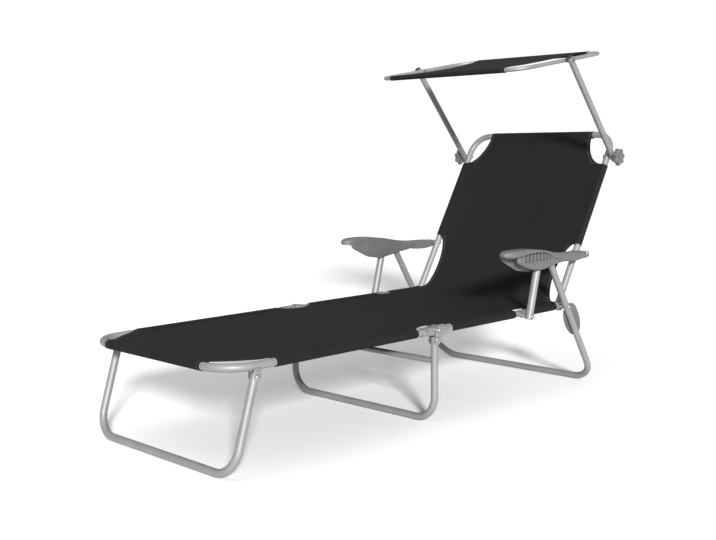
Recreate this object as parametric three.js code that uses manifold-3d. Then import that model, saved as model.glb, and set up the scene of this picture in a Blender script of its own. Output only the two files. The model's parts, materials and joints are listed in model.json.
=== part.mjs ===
// Folding sun lounger with a sling seat, sliding armrests and a small tilting canopy.
// Millimetres, +Z up, +Y from the feet to the head, +X to the sitter's left.

import * as THREE from 'three';
import { mergeVertices } from 'three/addons/utils/BufferGeometryUtils.js';
import Module from 'manifold-3d';

const wasm = await Module();
wasm.setup();

// Fits and finishing values
const faceGap = 0.3;
const runningGap = 0.3;
const cutOverrun = 4;
const tubeSides = 12;
const pinSides = 12;
const bendSteps = 6;
const arcSteps = 8;

// Overall sizes of the three sections
const railSpacing = 560;
const railHeight = 256;
const footLength = 708;
const seatLength = 566;
const backLength = 604;
const backAngle = THREE.MathUtils.degToRad(59.25);

// Steel tube
const tubeRadius = 10;
const tubeWall = 1.2;
const footBendRadius = 85;
const backBendRadius = 62;
const legBendRadius = 65;
const rearLegBendRadius = 72;
const tubeEndBeyondHinge = 11;
const railEndToHinge = 16;
const tubeEndToFoldHinge = 44;

// Legs
const legDrop = 25;
const legEndAbovePivot = 7;
const frontLegInset = 80.5;
const frontLegLean = THREE.MathUtils.degToRad(17);
const midLegOffset = 8;
const braceDrop = 58;
const braceRadius = 8;
const rearLegBesideRail = 32.5;
const rearLegSpacing = railSpacing + 2 * rearLegBesideRail;
const rearLegLean = THREE.MathUtils.degToRad(32.2);
const rearLegAbovePivot = 164;

// Struts in front of the armrests
const strutRadius = 11;
const strutBeforeHinge = 191;
const strutOffset = seatLength - strutBeforeHinge;
const strutPivotDrop = 6;
const strutLean = THREE.MathUtils.degToRad(14.8);
const strutLength = 149;
const strutEndBelowPivot = 9;

// Pins, bolts, rivets and plates
const pinRadius = 4;
const pinHeadRadius = 7.5;
const pinHeadThickness = 2.4;
const crownShare = 0.8;
const rivetHeadRadius = 4;
const rivetHeadThickness = 1.8;
const plateThickness = 2;
const plateReach = 13;
const hingePlateOnRail = 53;
const hingePlateTop = 6;
const hingePlateNeckShare = 0.6;
const lowPlateShare = 0.5;
const socketDepth = 20;
const socketFloor = 3;
const tongueHalfWidth = 9.7;
const backPlateOnRail = 40;
const webSetback = 20;
const legPlateReach = 10;
const legPlateTopShare = -0.3;
const strutPlateWidth = 40;
const strutPlateHeight = 24;
const bushRadius = 7;

// Sling fabric
const fabricThickness = 1.5;
const slingHingeGap = 13;
const slingFoldGap = 48;
const sleeveWrapAngle = THREE.MathUtils.degToRad(215);
const footHemFromRail = 85;
const footHemHalf = railSpacing / 2 - footHemFromRail;
const footSleeveStart = 140;
const hingeCutHalf = 68;
const hingeCutDepth = 28;
const hingeCutShift = 14;
const strutCutHalf = 34;
const strutCutDepth = 22;
const seatCornerCut = 28;
const seatCornerDepth = 26;
const backHemFromRail = 77;
const backHemHalf = railSpacing / 2 - backHemFromRail;
const backCornerLength = 114;
const backSleeveEnd = backLength - backCornerLength;
const backLowCutStart = -9;
const backLowCutEnd = 208;
const backLowCutDepth = 45;

// Armrests, measured from the pivot on the back tube
const armrestPivotAlongBack = 182.7;
const armrestBesideRail = 17;
const armrestInnerFace = railSpacing / 2 + armrestBesideRail;
const armrestLength = 442;
const armrestHeight = 70;
const armrestPivotFromTail = 18;
const armrestPivotHeight = 31;
const armrestWidth = 50;
const armrestTailWidth = 26;
const armrestBellyWidth = 38;
const armrestWall = 3;
const armrestBellyEndShare = 0.617;
const armrestNoseShare = 0.049;
const armrestSkirtStart = 52;
const armrestSlots = 8;
const armrestSlotPitch = 17.5;
const armrestSlotWidth = 7;
const armrestSlotHeight = 19;
const armrestSlotStart = 90;
const armrestSlotBase = 26;

// Leg guards
const guardLength = 112;
const guardHalfWidth = 36.5;
const guardThickness = 5;
const guardStart = 9;
const guardShift = 18;

// Canopy and its arms
const clampBelowTop = 82;
const clampAlongBack = backLength - clampBelowTop;
const clampWasherThickness = 1.2;
const armRadius = 9.5;
const armLength = 380;
const armAngle = THREE.MathUtils.degToRad(130.3);
const armEndBeyondPivot = 9;
const canopyWidth = railSpacing;
const canopyLength = 442;
const canopyBendRadius = 55;
const canopyTubeRadius = 6;
const canopyTubeWall = 1;
const canopyTilt = THREE.MathUtils.degToRad(9.3);
const canopyPinRadius = 3;
const canopyHemFromFrame = 56;
const canopyHemHalf = canopyWidth / 2 - canopyHemFromFrame;
const canopySideCut = 45;

// Star knobs
const knobRadius = 24.5;
const knobLobe = 3.2;
const knobLobes = 7;
const knobThickness = 14;
const knobBossRadius = 9;
const knobBossLength = 3;
const knobSteps = 42;
const knobBoreShare = 0.5;

// Plastic plugs
const plugDepth = 14;
const plugCapThickness = 1.6;

const railX = railSpacing / 2;
const rearLegX = rearLegSpacing / 2;
const plateInner = tubeRadius + faceGap;
const plateOuter = plateInner + plateThickness;
const armX = railX + tubeRadius + clampWasherThickness + 2 * faceGap + armRadius;
const sleeveInner = tubeRadius + faceGap;
const sleeveOuter = sleeveInner + fabricThickness;

const steel = new THREE.MeshStandardMaterial({
  name: 'painted_steel',
  color: 0xb4b6b8,
  roughness: 0.42,
  metalness: 0.7,
});
const zinc = new THREE.MeshStandardMaterial({
  name: 'zinc_steel',
  color: 0x9c9ea0,
  roughness: 0.35,
  metalness: 0.9,
});
const fabric = new THREE.MeshStandardMaterial({
  name: 'sling_fabric',
  color: 0x2b2c2e,
  roughness: 0.85,
  metalness: 0,
});
const plastic = new THREE.MeshStandardMaterial({
  name: 'grey_plastic',
  color: 0x8b8d90,
  roughness: 0.55,
  metalness: 0,
});
const blackPlastic = new THREE.MeshStandardMaterial({
  name: 'black_plastic',
  color: 0x27282a,
  roughness: 0.6,
  metalness: 0,
});

// Adds a mesh under its name and gives it back.
function addPiece(group, name, geometry, material) {
  const mesh = new THREE.Mesh(geometry, material);
  mesh.name = name;
  group.add(mesh);
  return mesh;
}

function toSolid(geometry) {
  const bare = geometry.clone();
  bare.deleteAttribute('normal');
  bare.deleteAttribute('uv');
  const merged = mergeVertices(bare, 1e-4);
  const mesh = new wasm.Mesh({
    numProp: 3,
    vertProperties: new Float32Array(merged.attributes.position.array),
    triVerts: new Uint32Array(merged.index.array),
  });
  return new wasm.Manifold(mesh);
}

function toGeometry(solid) {
  const mesh = solid.getMesh();
  const geometry = new THREE.BufferGeometry();
  geometry.setAttribute('position', new THREE.BufferAttribute(new Float32Array(mesh.vertProperties), 3));
  geometry.setIndex(new THREE.BufferAttribute(new Uint32Array(mesh.triVerts), 1));
  geometry.computeVertexNormals();
  return geometry;
}

function join(...geometries) {
  const solids = geometries.map(toSolid);
  return toGeometry(solids.reduce((all, next) => all.add(next)));
}

function cut(geometry, ...tools) {
  return toGeometry(tools.reduce((left, tool) => left.subtract(toSolid(tool)), toSolid(geometry)));
}

function common(first, second) {
  return toGeometry(toSolid(first).intersect(toSolid(second)));
}

// The same geometry on the other side of the middle plane.
function mirrored(geometry) {
  const plain = geometry.index ? geometry.toNonIndexed() : geometry.clone();
  plain.deleteAttribute('normal');
  plain.deleteAttribute('uv');
  const position = plain.attributes.position;
  const turned = new Float32Array(position.count * 3);
  for (let corner = 0; corner < position.count; corner += 1) {
    const source = corner - (corner % 3) + [0, 2, 1][corner % 3];
    turned[3 * corner] = -position.getX(source);
    turned[3 * corner + 1] = position.getY(source);
    turned[3 * corner + 2] = position.getZ(source);
  }
  const result = new THREE.BufferGeometry();
  result.setAttribute('position', new THREE.BufferAttribute(turned, 3));
  result.computeVertexNormals();
  return result;
}

const sides = [
  { name: 'left', place: (geometry) => geometry },
  { name: 'right', place: mirrored },
];

// Adds a piece and its mirror image, each under its own name.
function addPair(group, name, geometry, material) {
  for (const side of sides) {
    addPiece(group, `${name}_${side.name}`, side.place(geometry), material);
  }
}

function polygon(points) {
  return new THREE.Shape(points.map(([x, y]) => new THREE.Vector2(x, y)));
}

function arcPoints(centreX, centreY, radiusX, radiusY, from, to, steps = arcSteps) {
  const points = [];
  for (let step = 0; step <= steps; step += 1) {
    const angle = from + ((to - from) * step) / steps;
    points.push([centreX + radiusX * Math.cos(angle), centreY + radiusY * Math.sin(angle)]);
  }
  return points;
}

// A shape in the Y-Z plane, extruded along X.
function alongX(shape, start, end) {
  const geometry = new THREE.ExtrudeGeometry(shape, { depth: end - start, bevelEnabled: false });
  const turn = new THREE.Matrix4().makeBasis(
    new THREE.Vector3(0, 1, 0),
    new THREE.Vector3(0, 0, 1),
    new THREE.Vector3(1, 0, 0),
  );
  geometry.applyMatrix4(turn);
  geometry.translate(start, 0, 0);
  return geometry;
}

// A shape in the X-Z plane, extruded along Y.
function alongY(shape, start, end) {
  const geometry = new THREE.ExtrudeGeometry(shape, { depth: end - start, bevelEnabled: false });
  geometry.rotateX(Math.PI / 2);
  geometry.translate(0, end, 0);
  return geometry;
}

// A shape in the X-Y plane, extruded along Z.
function alongZ(shape, start, end) {
  const geometry = new THREE.ExtrudeGeometry(shape, { depth: end - start, bevelEnabled: false });
  geometry.translate(0, 0, start);
  return geometry;
}

function rodAlongX(radius, start, end, y = 0, z = 0) {
  const geometry = new THREE.CylinderGeometry(radius, radius, end - start, pinSides);
  geometry.rotateZ(Math.PI / 2);
  geometry.translate((start + end) / 2, y, z);
  return geometry;
}

// A pin along X turned from one profile of [position, radius] steps.
function turnedPin(profile) {
  const points = [new THREE.Vector2(0, profile[0][0])];
  for (const [position, radius] of profile) {
    points.push(new THREE.Vector2(radius, position));
  }
  points.push(new THREE.Vector2(0, profile[profile.length - 1][0]));
  const geometry = new THREE.LatheGeometry(points, pinSides);
  geometry.rotateZ(-Math.PI / 2);
  return geometry;
}

function pinHole(y, z, radius = pinRadius) {
  const reach = rearLegX + tubeRadius + cutOverrun;
  return rodAlongX(radius + runningGap, -reach, reach, y, z);
}

// A bent tube's centre line: straight runs and evenly stepped bends, with mitred stations.
class BentLine extends THREE.Curve {
  constructor(stations) {
    super();
    this.stations = stations;
  }

  getPoint(share, target = new THREE.Vector3()) {
    const place = share * (this.stations.length - 1);
    const index = Math.min(Math.floor(place), this.stations.length - 2);
    return target.copy(this.stations[index]).lerp(this.stations[index + 1], place - index);
  }

  getPointAt(share, target) {
    return this.getPoint(share, target);
  }

  getTangentAt(share, target = new THREE.Vector3()) {
    const last = this.stations.length - 1;
    const index = Math.round(share * last);
    const before = this.stations[Math.max(index - 1, 0)];
    const after = this.stations[Math.min(index + 1, last)];
    const here = this.stations[index];
    target.set(0, 0, 0);
    if (index > 0) target.add(here.clone().sub(before).normalize());
    if (index < last) target.add(after.clone().sub(here).normalize());
    return target.normalize();
  }
}

function ringShape(radius, wall) {
  const turn = 2 * Math.PI;
  const shape = polygon(arcPoints(0, 0, radius, radius, 0, turn, tubeSides).slice(0, -1));
  if (wall > 0) {
    const bore = arcPoints(0, 0, radius - wall, radius - wall, 0, turn, tubeSides).slice(0, -1);
    shape.holes.push(new THREE.Path(bore.map(([x, y]) => new THREE.Vector2(x, y))));
  }
  return shape;
}

function tube(stations, radius, wall = tubeWall) {
  const path = new BentLine(stations);
  return new THREE.ExtrudeGeometry(ringShape(radius, wall), {
    steps: stations.length - 1,
    extrudePath: path,
    bevelEnabled: false,
  });
}

// Stations of a U lying in X and a second direction: out along one side, across at the far end and back.
function uStations(half, start, length, bend, direction) {
  const quarter = Math.PI / 2;
  const side = [[half, start], ...arcPoints(half - bend, length - bend, bend, bend, 0, quarter, bendSteps)];
  const whole = [...side, ...side.map(([x, v]) => [-x, v]).reverse()];
  return whole.map(([x, v]) => new THREE.Vector3(x, 0, 0).addScaledVector(direction, v));
}

function straightTube(x, start, end, direction, radius) {
  const stations = [start, end].map((v) => new THREE.Vector3(x, 0, 0).addScaledVector(direction, v));
  return tube(stations, radius);
}

// A plug in the open end of a tube, built along the tube's own direction.
function tubePlug(x, end, direction, radius) {
  const shaftRadius = radius - tubeWall - faceGap;
  const profile = [
    new THREE.Vector2(0, -plugDepth),
    new THREE.Vector2(shaftRadius, -plugDepth),
    new THREE.Vector2(shaftRadius, faceGap),
    new THREE.Vector2(radius, faceGap),
    new THREE.Vector2(radius, faceGap + plugCapThickness),
    new THREE.Vector2(0, faceGap + plugCapThickness),
  ];
  const geometry = new THREE.LatheGeometry(profile, tubeSides);
  geometry.applyQuaternion(new THREE.Quaternion().setFromUnitVectors(new THREE.Vector3(0, 1, 0), direction));
  geometry.translate(x, 0, 0);
  return geometry.translate(...direction.clone().multiplyScalar(end).toArray());
}

// The open sleeve that wraps a tube, as an outline in a plane square to the tube.
// The sheet arrives from the negative side, over the top, and the sleeve ends under the tube.
function sleeveOutline(centre, radiusOfTube) {
  const inner = radiusOfTube + faceGap;
  const outer = inner + fabricThickness;
  const top = Math.PI / 2;
  const outside = arcPoints(centre, 0, outer, outer, top, top - sleeveWrapAngle);
  const inside = arcPoints(centre, 0, inner, inner, top - sleeveWrapAngle, top);
  return [[centre - fabricThickness, outer], ...outside, ...inside, [centre - fabricThickness, inner]];
}

// Sleeves on the tubes that run along Y, on both sides, over a span.
function sideSleeves(x, start, end) {
  const sleeve = alongY(polygon(sleeveOutline(x, tubeRadius)), start, end);
  return [sleeve, mirrored(sleeve)];
}

// A sleeve on a bar that runs along X, on the side that the sign gives.
function barSleeve(sign, distance, half, radiusOfTube) {
  const geometry = alongX(polygon(sleeveOutline(distance, radiusOfTube)), -half, half);
  if (sign > 0) return geometry;
  return geometry.rotateZ(Math.PI);
}

// A sheet from the outline of its left half, which runs from the middle line round to the middle line.
function slingSheet(halfOutline, radiusOfTube) {
  const inner = radiusOfTube + faceGap;
  const rightHalf = halfOutline.map(([x, y]) => [-x, y]).reverse();
  return alongZ(polygon([...halfOutline, ...rightHalf]), inner, inner + fabricThickness);
}

// Half an ellipse bitten out of the sheet's side, from its far end back to its near end.
function sideBite(from, to, depth) {
  return arcPoints(railX, (from + to) / 2, depth, (to - from) / 2, 1.5 * Math.PI, 0.5 * Math.PI);
}

// A rivet head that stands on a plate's outer face and is joined to the plate.
function rivetHead(face, y, z) {
  return turnedPin([
    [face - plateThickness / 2, rivetHeadRadius],
    [face + rivetHeadThickness / 2, rivetHeadRadius],
    [face + rivetHeadThickness, rivetHeadRadius / 2],
  ]).translate(0, y, z);
}

// A headed pin along X between two faces, with a head on each.
function headedPin(start, end, y, z, radius = pinRadius, headRadius = pinHeadRadius) {
  return turnedPin([
    [start - faceGap - pinHeadThickness, headRadius * crownShare],
    [start - faceGap - pinHeadThickness / 2, headRadius],
    [start - faceGap, headRadius],
    [start - faceGap, radius],
    [end + faceGap, radius],
    [end + faceGap, headRadius],
    [end + faceGap + pinHeadThickness / 2, headRadius],
    [end + faceGap + pinHeadThickness, headRadius * crownShare],
  ]).translate(0, y, z);
}

// Two plates on the faces of a rail, with the outline in the Y-Z plane.
function platePair(outline) {
  return [
    alongX(polygon(outline), railX + plateInner, railX + plateOuter),
    alongX(polygon(outline), railX - plateOuter, railX - plateInner),
  ];
}

function box(lowX, highX, lowY, highY, lowZ, highZ) {
  const geometry = new THREE.BoxGeometry(highX - lowX, highY - lowY, highZ - lowZ);
  geometry.translate((lowX + highX) / 2, (lowY + highY) / 2, (lowZ + highZ) / 2);
  return geometry;
}

// Hinge bracket between foot and seat, with the ears that carry the middle leg.
function footHingeBracket() {
  const outline = [
    ...arcPoints(-midLegOffset, -legDrop, plateReach, plateReach, 1.1 * Math.PI, 1.8 * Math.PI),
    [tubeEndToFoldHinge * hingePlateNeckShare, -plateOuter],
    [hingePlateOnRail, -plateOuter],
    [hingePlateOnRail, hingePlateTop],
    [tubeEndToFoldHinge, hingePlateTop],
    ...arcPoints(0, 0, plateReach, plateReach, 0.35 * Math.PI, Math.PI),
  ];
  const webSide = railX + plateOuter;
  const web = box(
    railX - plateOuter, webSide, tubeEndToFoldHinge, hingePlateOnRail, -plateOuter, -plateInner,
  );
  const rivet = rivetHead(webSide, (tubeEndToFoldHinge + hingePlateOnRail) / 2, 0);
  const bracket = join(...platePair(outline), web, rivet);
  return cut(bracket, pinHole(0, 0), pinHole(-midLegOffset, -legDrop));
}

// Socket over the end of the foot frame's tube, with the tongue that turns between the bracket's plates.
function footHingeSocket() {
  const floorEnd = -tubeEndToFoldHinge + faceGap + socketFloor;
  const cupStart = -tubeEndToFoldHinge - socketDepth;
  const cup = tube([cupStart, floorEnd].map((y) => new THREE.Vector3(railX, y, 0)), plateOuter, 0);
  const bore = tube(
    [cupStart - cutOverrun, -tubeEndToFoldHinge + faceGap].map((y) => new THREE.Vector3(railX, y, 0)),
    tubeRadius + faceGap, 0,
  );
  const quarter = Math.PI / 2;
  const tongueOutline = [
    [floorEnd - socketFloor / 2, -tubeRadius],
    ...arcPoints(0, 0, tubeRadius, tubeRadius, -quarter, quarter),
    [floorEnd - socketFloor / 2, tubeRadius],
  ];
  const tongue = alongX(polygon(tongueOutline), railX - tongueHalfWidth, railX + tongueHalfWidth);
  return cut(join(cup, tongue), bore, pinHole(0, 0));
}

// Hinge bracket between seat and back, straddling the rail from below.
function backHingeBracket() {
  const outline = [
    [seatLength - backPlateOnRail, -plateOuter],
    [seatLength - webSetback, -plateOuter],
    ...arcPoints(seatLength, 0, plateReach, plateReach, -0.42 * Math.PI, 0.5 * Math.PI),
    [seatLength - backPlateOnRail, tubeRadius * lowPlateShare],
  ];
  const webStart = seatLength - backPlateOnRail;
  const webEnd = seatLength - webSetback;
  const web = box(railX - plateOuter, railX + plateOuter, webStart, webEnd, -plateOuter, -plateInner);
  const rivet = rivetHead(railX + plateOuter, webStart + rivetHeadRadius * 2, 0);
  const bracket = join(...platePair(outline), web, rivet);
  return cut(bracket, pinHole(seatLength, 0));
}

// The foot frame's centre line, from the end of one rail round the foot to the end of the other.
function footLine() {
  const outward = new THREE.Vector3(0, -1, 0);
  return uStations(railX, tubeEndToFoldHinge, footLength, footBendRadius, outward);
}

// Saddle under the foot frame that hangs the front leg, cut to the frame's own bend.
function frontLegBracket() {
  const pivotY = -footLength + frontLegInset;
  const start = pivotY - legPlateReach;
  const end = pivotY + legPlateReach;
  const outline = [
    ...arcPoints(pivotY, -legDrop, legPlateReach, legPlateReach, Math.PI, 2 * Math.PI),
    [end, tubeRadius * legPlateTopShare],
    [start, tubeRadius * legPlateTopShare],
  ];
  const belowRail = -tubeRadius - faceGap;
  const web = box(railX - plateOuter, railX + plateOuter, start, end, belowRail - plateThickness, belowRail);
  const clearance = tube(footLine(), tubeRadius + faceGap, 0);
  return cut(join(...platePair(outline), web), clearance, pinHole(pivotY, -legDrop));
}

// Plate on the rail's outer face with the pin that carries the strut.
function strutBracket() {
  const faceX = railX + plateInner;
  const halfHeight = strutPlateHeight / 2;
  const cornerCut = halfHeight / 2;
  const outline = [
    [strutOffset - strutPlateWidth / 2, cornerCut - halfHeight],
    [strutOffset - strutPlateWidth / 2 + cornerCut, -halfHeight],
    [strutOffset + strutPlateWidth / 2 - cornerCut, -halfHeight],
    [strutOffset + strutPlateWidth / 2, cornerCut - halfHeight],
    [strutOffset + strutPlateWidth / 2, halfHeight - plateThickness],
    [strutOffset - strutPlateWidth / 2, halfHeight - plateThickness],
  ];
  const plate = alongX(polygon(outline), faceX, faceX + plateThickness);
  const bossEnd = rearLegX - strutRadius - faceGap;
  const pinEnd = rearLegX + strutRadius + faceGap;
  const pin = turnedPin([
    [faceX + plateThickness / 2, bushRadius],
    [bossEnd, bushRadius],
    [bossEnd, pinRadius],
    [pinEnd, pinRadius],
    [pinEnd, pinHeadRadius],
    [pinEnd + pinHeadThickness, pinHeadRadius * crownShare],
  ]).translate(0, strutOffset, -strutPivotDrop);
  const rivetReach = strutPlateWidth / 2 - rivetHeadRadius - plateThickness;
  const rivets = [-rivetReach, rivetReach].map((y) => rivetHead(faceX + plateThickness, strutOffset + y, 0));
  return join(plate, pin, ...rivets);
}

// Seat section: rails, fabric, brackets, pins and rivets
function seatSection() {
  const group = new THREE.Group();
  const along = new THREE.Vector3(0, 1, 0);
  const railEnd = seatLength - railEndToHinge;
  const inner = railX - plateOuter;
  const outer = railX + plateOuter;
  addPair(group, 'seat_rail', straightTube(railX, tubeEndToFoldHinge, railEnd, along, tubeRadius), steel);
  addPiece(group, 'seat_sling', seatSling(), fabric);
  addPair(group, 'foot_hinge_bracket', footHingeBracket(), zinc);
  addPair(group, 'back_hinge_bracket', backHingeBracket(), zinc);
  addPair(group, 'strut_bracket', strutBracket(), zinc);
  addPair(group, 'foot_hinge_pin', headedPin(inner, outer, 0, 0), zinc);
  addPair(group, 'middle_leg_pin', headedPin(inner, outer, -midLegOffset, -legDrop), zinc);
  addPair(group, 'rear_hinge_bolt', rearHingeBolt(), zinc);
  return group;
}

// Long bolt through the rear hinge, with a bush that spaces the rear leg off the bracket.
function rearHingeBolt() {
  const bracketFace = railX + plateOuter + faceGap;
  const legInner = rearLegX - tubeRadius - faceGap;
  const legOuter = rearLegX + tubeRadius + faceGap;
  const start = railX - plateOuter - faceGap;
  return turnedPin([
    [start - pinHeadThickness, pinHeadRadius * crownShare],
    [start - pinHeadThickness / 2, pinHeadRadius],
    [start, pinHeadRadius],
    [start, pinRadius],
    [bracketFace, pinRadius],
    [bracketFace, bushRadius],
    [legInner, bushRadius],
    [legInner, pinRadius],
    [legOuter, pinRadius],
    [legOuter, pinHeadRadius],
    [legOuter + pinHeadThickness, pinHeadRadius * crownShare],
  ]).translate(0, seatLength, 0);
}

function seatSling() {
  const start = slingFoldGap;
  const end = seatLength - slingHingeGap;
  const cutEnd = hingeCutHalf - hingeCutShift;
  const biteStart = strutOffset - strutCutHalf;
  const biteEnd = strutOffset + strutCutHalf;
  const cornerStart = end - seatCornerCut;
  const quarter = Math.PI / 2;
  const cutTurn = Math.asin((start + hingeCutShift) / hingeCutHalf);
  const frontCut = arcPoints(railX, -hingeCutShift, hingeCutDepth, hingeCutHalf, Math.PI - cutTurn, quarter);
  const half = [
    [0, start],
    ...frontCut,
    ...sideBite(biteStart, biteEnd, strutCutDepth),
    ...arcPoints(railX, end, seatCornerDepth, seatCornerCut, 3 * quarter, Math.PI * 1.02),
    [railX - seatCornerDepth, end],
    [0, end],
  ];
  return join(
    slingSheet(half, tubeRadius),
    ...sideSleeves(railX, cutEnd, biteStart),
    ...sideSleeves(railX, biteEnd, cornerStart),
  );
}

// Foot section: bent frame, fabric and the front leg's brackets
function footSection() {
  const group = new THREE.Group();
  addPiece(group, 'foot_frame', tube(footLine(), tubeRadius), steel);
  addPair(group, 'foot_hinge_socket', footHingeSocket(), zinc);
  addPiece(group, 'foot_sling', footSling(), fabric);
  const pivotY = -footLength + frontLegInset;
  const pin = headedPin(railX - plateOuter, railX + plateOuter, pivotY, -legDrop);
  addPair(group, 'front_leg_bracket', frontLegBracket(), zinc);
  addPair(group, 'front_leg_pin', pin, zinc);
  return group;
}

// Edge of the fabric at a foot corner: shares of the way from the hem to the rail, and of the sleeve's start
const footCornerShares = [[0.09, 0.14], [0.24, 0.26], [0.45, 0.44], [0.61, 0.62], [0.84, 0.84], [1, 1]];

function footSling() {
  const quarter = Math.PI / 2;
  const bar = -footLength;
  const sleeveStart = bar + footSleeveStart;
  const end = -slingFoldGap;
  const cutStart = -hingeCutShift - hingeCutHalf;
  const cutTurn = Math.asin((slingFoldGap - hingeCutShift) / hingeCutHalf);
  const rearCut = arcPoints(railX, -hingeCutShift, hingeCutDepth, hingeCutHalf, -quarter, cutTurn - Math.PI);
  const half = [
    [0, bar],
    [footHemHalf, bar],
    ...footCornerShares.map(([across, along]) => [
      footHemHalf + across * footHemFromRail, bar + along * footSleeveStart,
    ]),
    ...rearCut,
    [0, end],
  ];
  return join(
    slingSheet(half, tubeRadius),
    ...sideSleeves(railX, sleeveStart, cutStart),
    barSleeve(-1, footLength, Math.min(footHemHalf, railX - footBendRadius), tubeRadius),
  );
}

// Back section, modelled lying along +Y from the hinge and then turned up
function backSection() {
  const group = new THREE.Group();
  const upward = new THREE.Vector3(0, 1, 0);
  const stations = uStations(railX, -tubeEndBeyondHinge, backLength, backBendRadius, upward);
  const armrestHole = pinHole(armrestPivotAlongBack, 0);
  const clampHole = pinHole(clampAlongBack, 0);
  const frame = cut(tube(stations, tubeRadius), pinHole(0, 0), armrestHole, clampHole);
  addPiece(group, 'back_frame', frame, steel);
  addPiece(group, 'back_sling', backSling(), fabric);
  addPair(group, 'armrest_bolt', armrestBolt(), zinc);
  addPair(group, 'clamp_bolt', clampBolt(), zinc);
  return group;
}

function backSling() {
  const quarter = Math.PI / 2;
  const hem = backLength;
  const cornerX = railX - backHemHalf;
  const lowCutMiddle = (backLowCutStart + backLowCutEnd) / 2;
  const lowCutHalf = (backLowCutEnd - backLowCutStart) / 2;
  const lowCutTurn = Math.asin((lowCutMiddle - slingHingeGap) / lowCutHalf);
  const half = [
    [0, slingHingeGap],
    ...arcPoints(railX, lowCutMiddle, backLowCutDepth, lowCutHalf, Math.PI + lowCutTurn, quarter),
    ...arcPoints(railX, hem, cornerX, backCornerLength, 3 * quarter, Math.PI),
    [0, hem],
  ];
  return join(
    slingSheet(half, tubeRadius),
    ...sideSleeves(railX, backLowCutEnd, backSleeveEnd),
    barSleeve(1, backLength, backHemHalf, tubeRadius),
  );
}

// Bolt that carries an armrest on the outside of the back tube.
function armrestBolt() {
  const start = railX - tubeRadius - faceGap;
  const tubeFace = railX + tubeRadius + faceGap;
  const restInner = armrestInnerFace - faceGap;
  const restOuter = armrestInnerFace + armrestTailWidth + faceGap;
  return turnedPin([
    [start - pinHeadThickness, pinHeadRadius * crownShare],
    [start, pinHeadRadius],
    [start, pinRadius],
    [tubeFace, pinRadius],
    [tubeFace, bushRadius],
    [restInner, bushRadius],
    [restInner, pinRadius],
    [restOuter, pinRadius],
    [restOuter, pinHeadRadius],
    [restOuter + pinHeadThickness, pinHeadRadius * crownShare],
  ]).translate(0, armrestPivotAlongBack, 0);
}

// Bolt through the back tube and the canopy arm, with a washer between them; its end is inside the knob.
function clampBolt() {
  const start = railX - tubeRadius - faceGap;
  const washerStart = railX + tubeRadius + faceGap;
  const washerEnd = washerStart + clampWasherThickness;
  const end = armX + armRadius + faceGap + knobBossLength + knobThickness * knobBoreShare;
  return turnedPin([
    [start - pinHeadThickness, pinHeadRadius * crownShare],
    [start, pinHeadRadius],
    [start, pinRadius],
    [washerStart, pinRadius],
    [washerStart, pinHeadRadius],
    [washerEnd, pinHeadRadius],
    [washerEnd, pinRadius],
    [end, pinRadius],
  ]).translate(0, clampAlongBack, 0);
}

// U-shaped leg hanging from its pivots along -Z
function uLeg(half, above, length, bend) {
  const down = new THREE.Vector3(0, 0, -1);
  const stations = uStations(half, -above, length, bend, down);
  return cut(tube(stations, tubeRadius), pinHole(0, 0));
}

function frontLeg() {
  const group = new THREE.Group();
  const length = (railHeight - legDrop - tubeRadius) / Math.cos(frontLegLean);
  addPiece(group, 'front_leg', uLeg(railX, legEndAbovePivot, length, legBendRadius), steel);
  return group;
}

function middleLeg() {
  const group = new THREE.Group();
  const length = railHeight - legDrop - tubeRadius;
  addPiece(group, 'middle_leg', uLeg(railX, legEndAbovePivot, length, legBendRadius), steel);
  const half = railX - tubeRadius - faceGap;
  const across = new THREE.Vector3(1, 0, 0);
  const brace = straightTube(0, -half, half, across, braceRadius).translate(0, 0, -braceDrop);
  addPiece(group, 'middle_leg_brace', brace, steel);
  return group;
}

// The guard's outline as shares of its half width and its length, down its rear edge and up its front
const guardShares = [
  [0.22, 0.015], [0.6, 0.08], [0.85, 0.17], [0.96, 0.27], [1, 0.43], [1, 0.55], [0.87, 0.76], [0.66, 0.885],
  [0.45, 0.967], [0.16, 1], [-0.14, 0.987], [-0.52, 0.906], [-0.84, 0.752], [-1, 0.51], [-0.956, 0.297],
  [-0.786, 0.145], [-0.55, 0.045], [-0.16, 0],
];

// Leaf-shaped guard on the inner side of the rear leg, below its pivot.
function legGuard() {
  const outline = guardShares.map(([across, down]) => [
    guardShift + across * guardHalfWidth, -guardStart - down * guardLength,
  ]);
  const outer = rearLegX - tubeRadius - faceGap;
  return alongX(polygon(outline.reverse()), outer - guardThickness, outer);
}

function rearLeg() {
  const group = new THREE.Group();
  const length = (railHeight - tubeRadius) / Math.cos(rearLegLean);
  addPiece(group, 'rear_leg', uLeg(rearLegX, rearLegAbovePivot, length, rearLegBendRadius), steel);
  const up = new THREE.Vector3(0, 0, 1);
  addPair(group, 'rear_leg_plug', tubePlug(rearLegX, rearLegAbovePivot, up, tubeRadius), blackPlastic);
  addPair(group, 'leg_guard', legGuard(), plastic);
  return group;
}

function strut(side) {
  const group = new THREE.Group();
  const up = new THREE.Vector3(0, 0, 1);
  const bar = straightTube(rearLegX, -strutEndBelowPivot, strutLength, up, strutRadius);
  addPiece(group, `armrest_strut_${side.name}`, side.place(cut(bar, pinHole(0, 0))), steel);
  const plug = tubePlug(rearLegX, strutLength, up, strutRadius);
  addPiece(group, `armrest_strut_plug_${side.name}`, side.place(plug), blackPlastic);
  return group;
}

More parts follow.
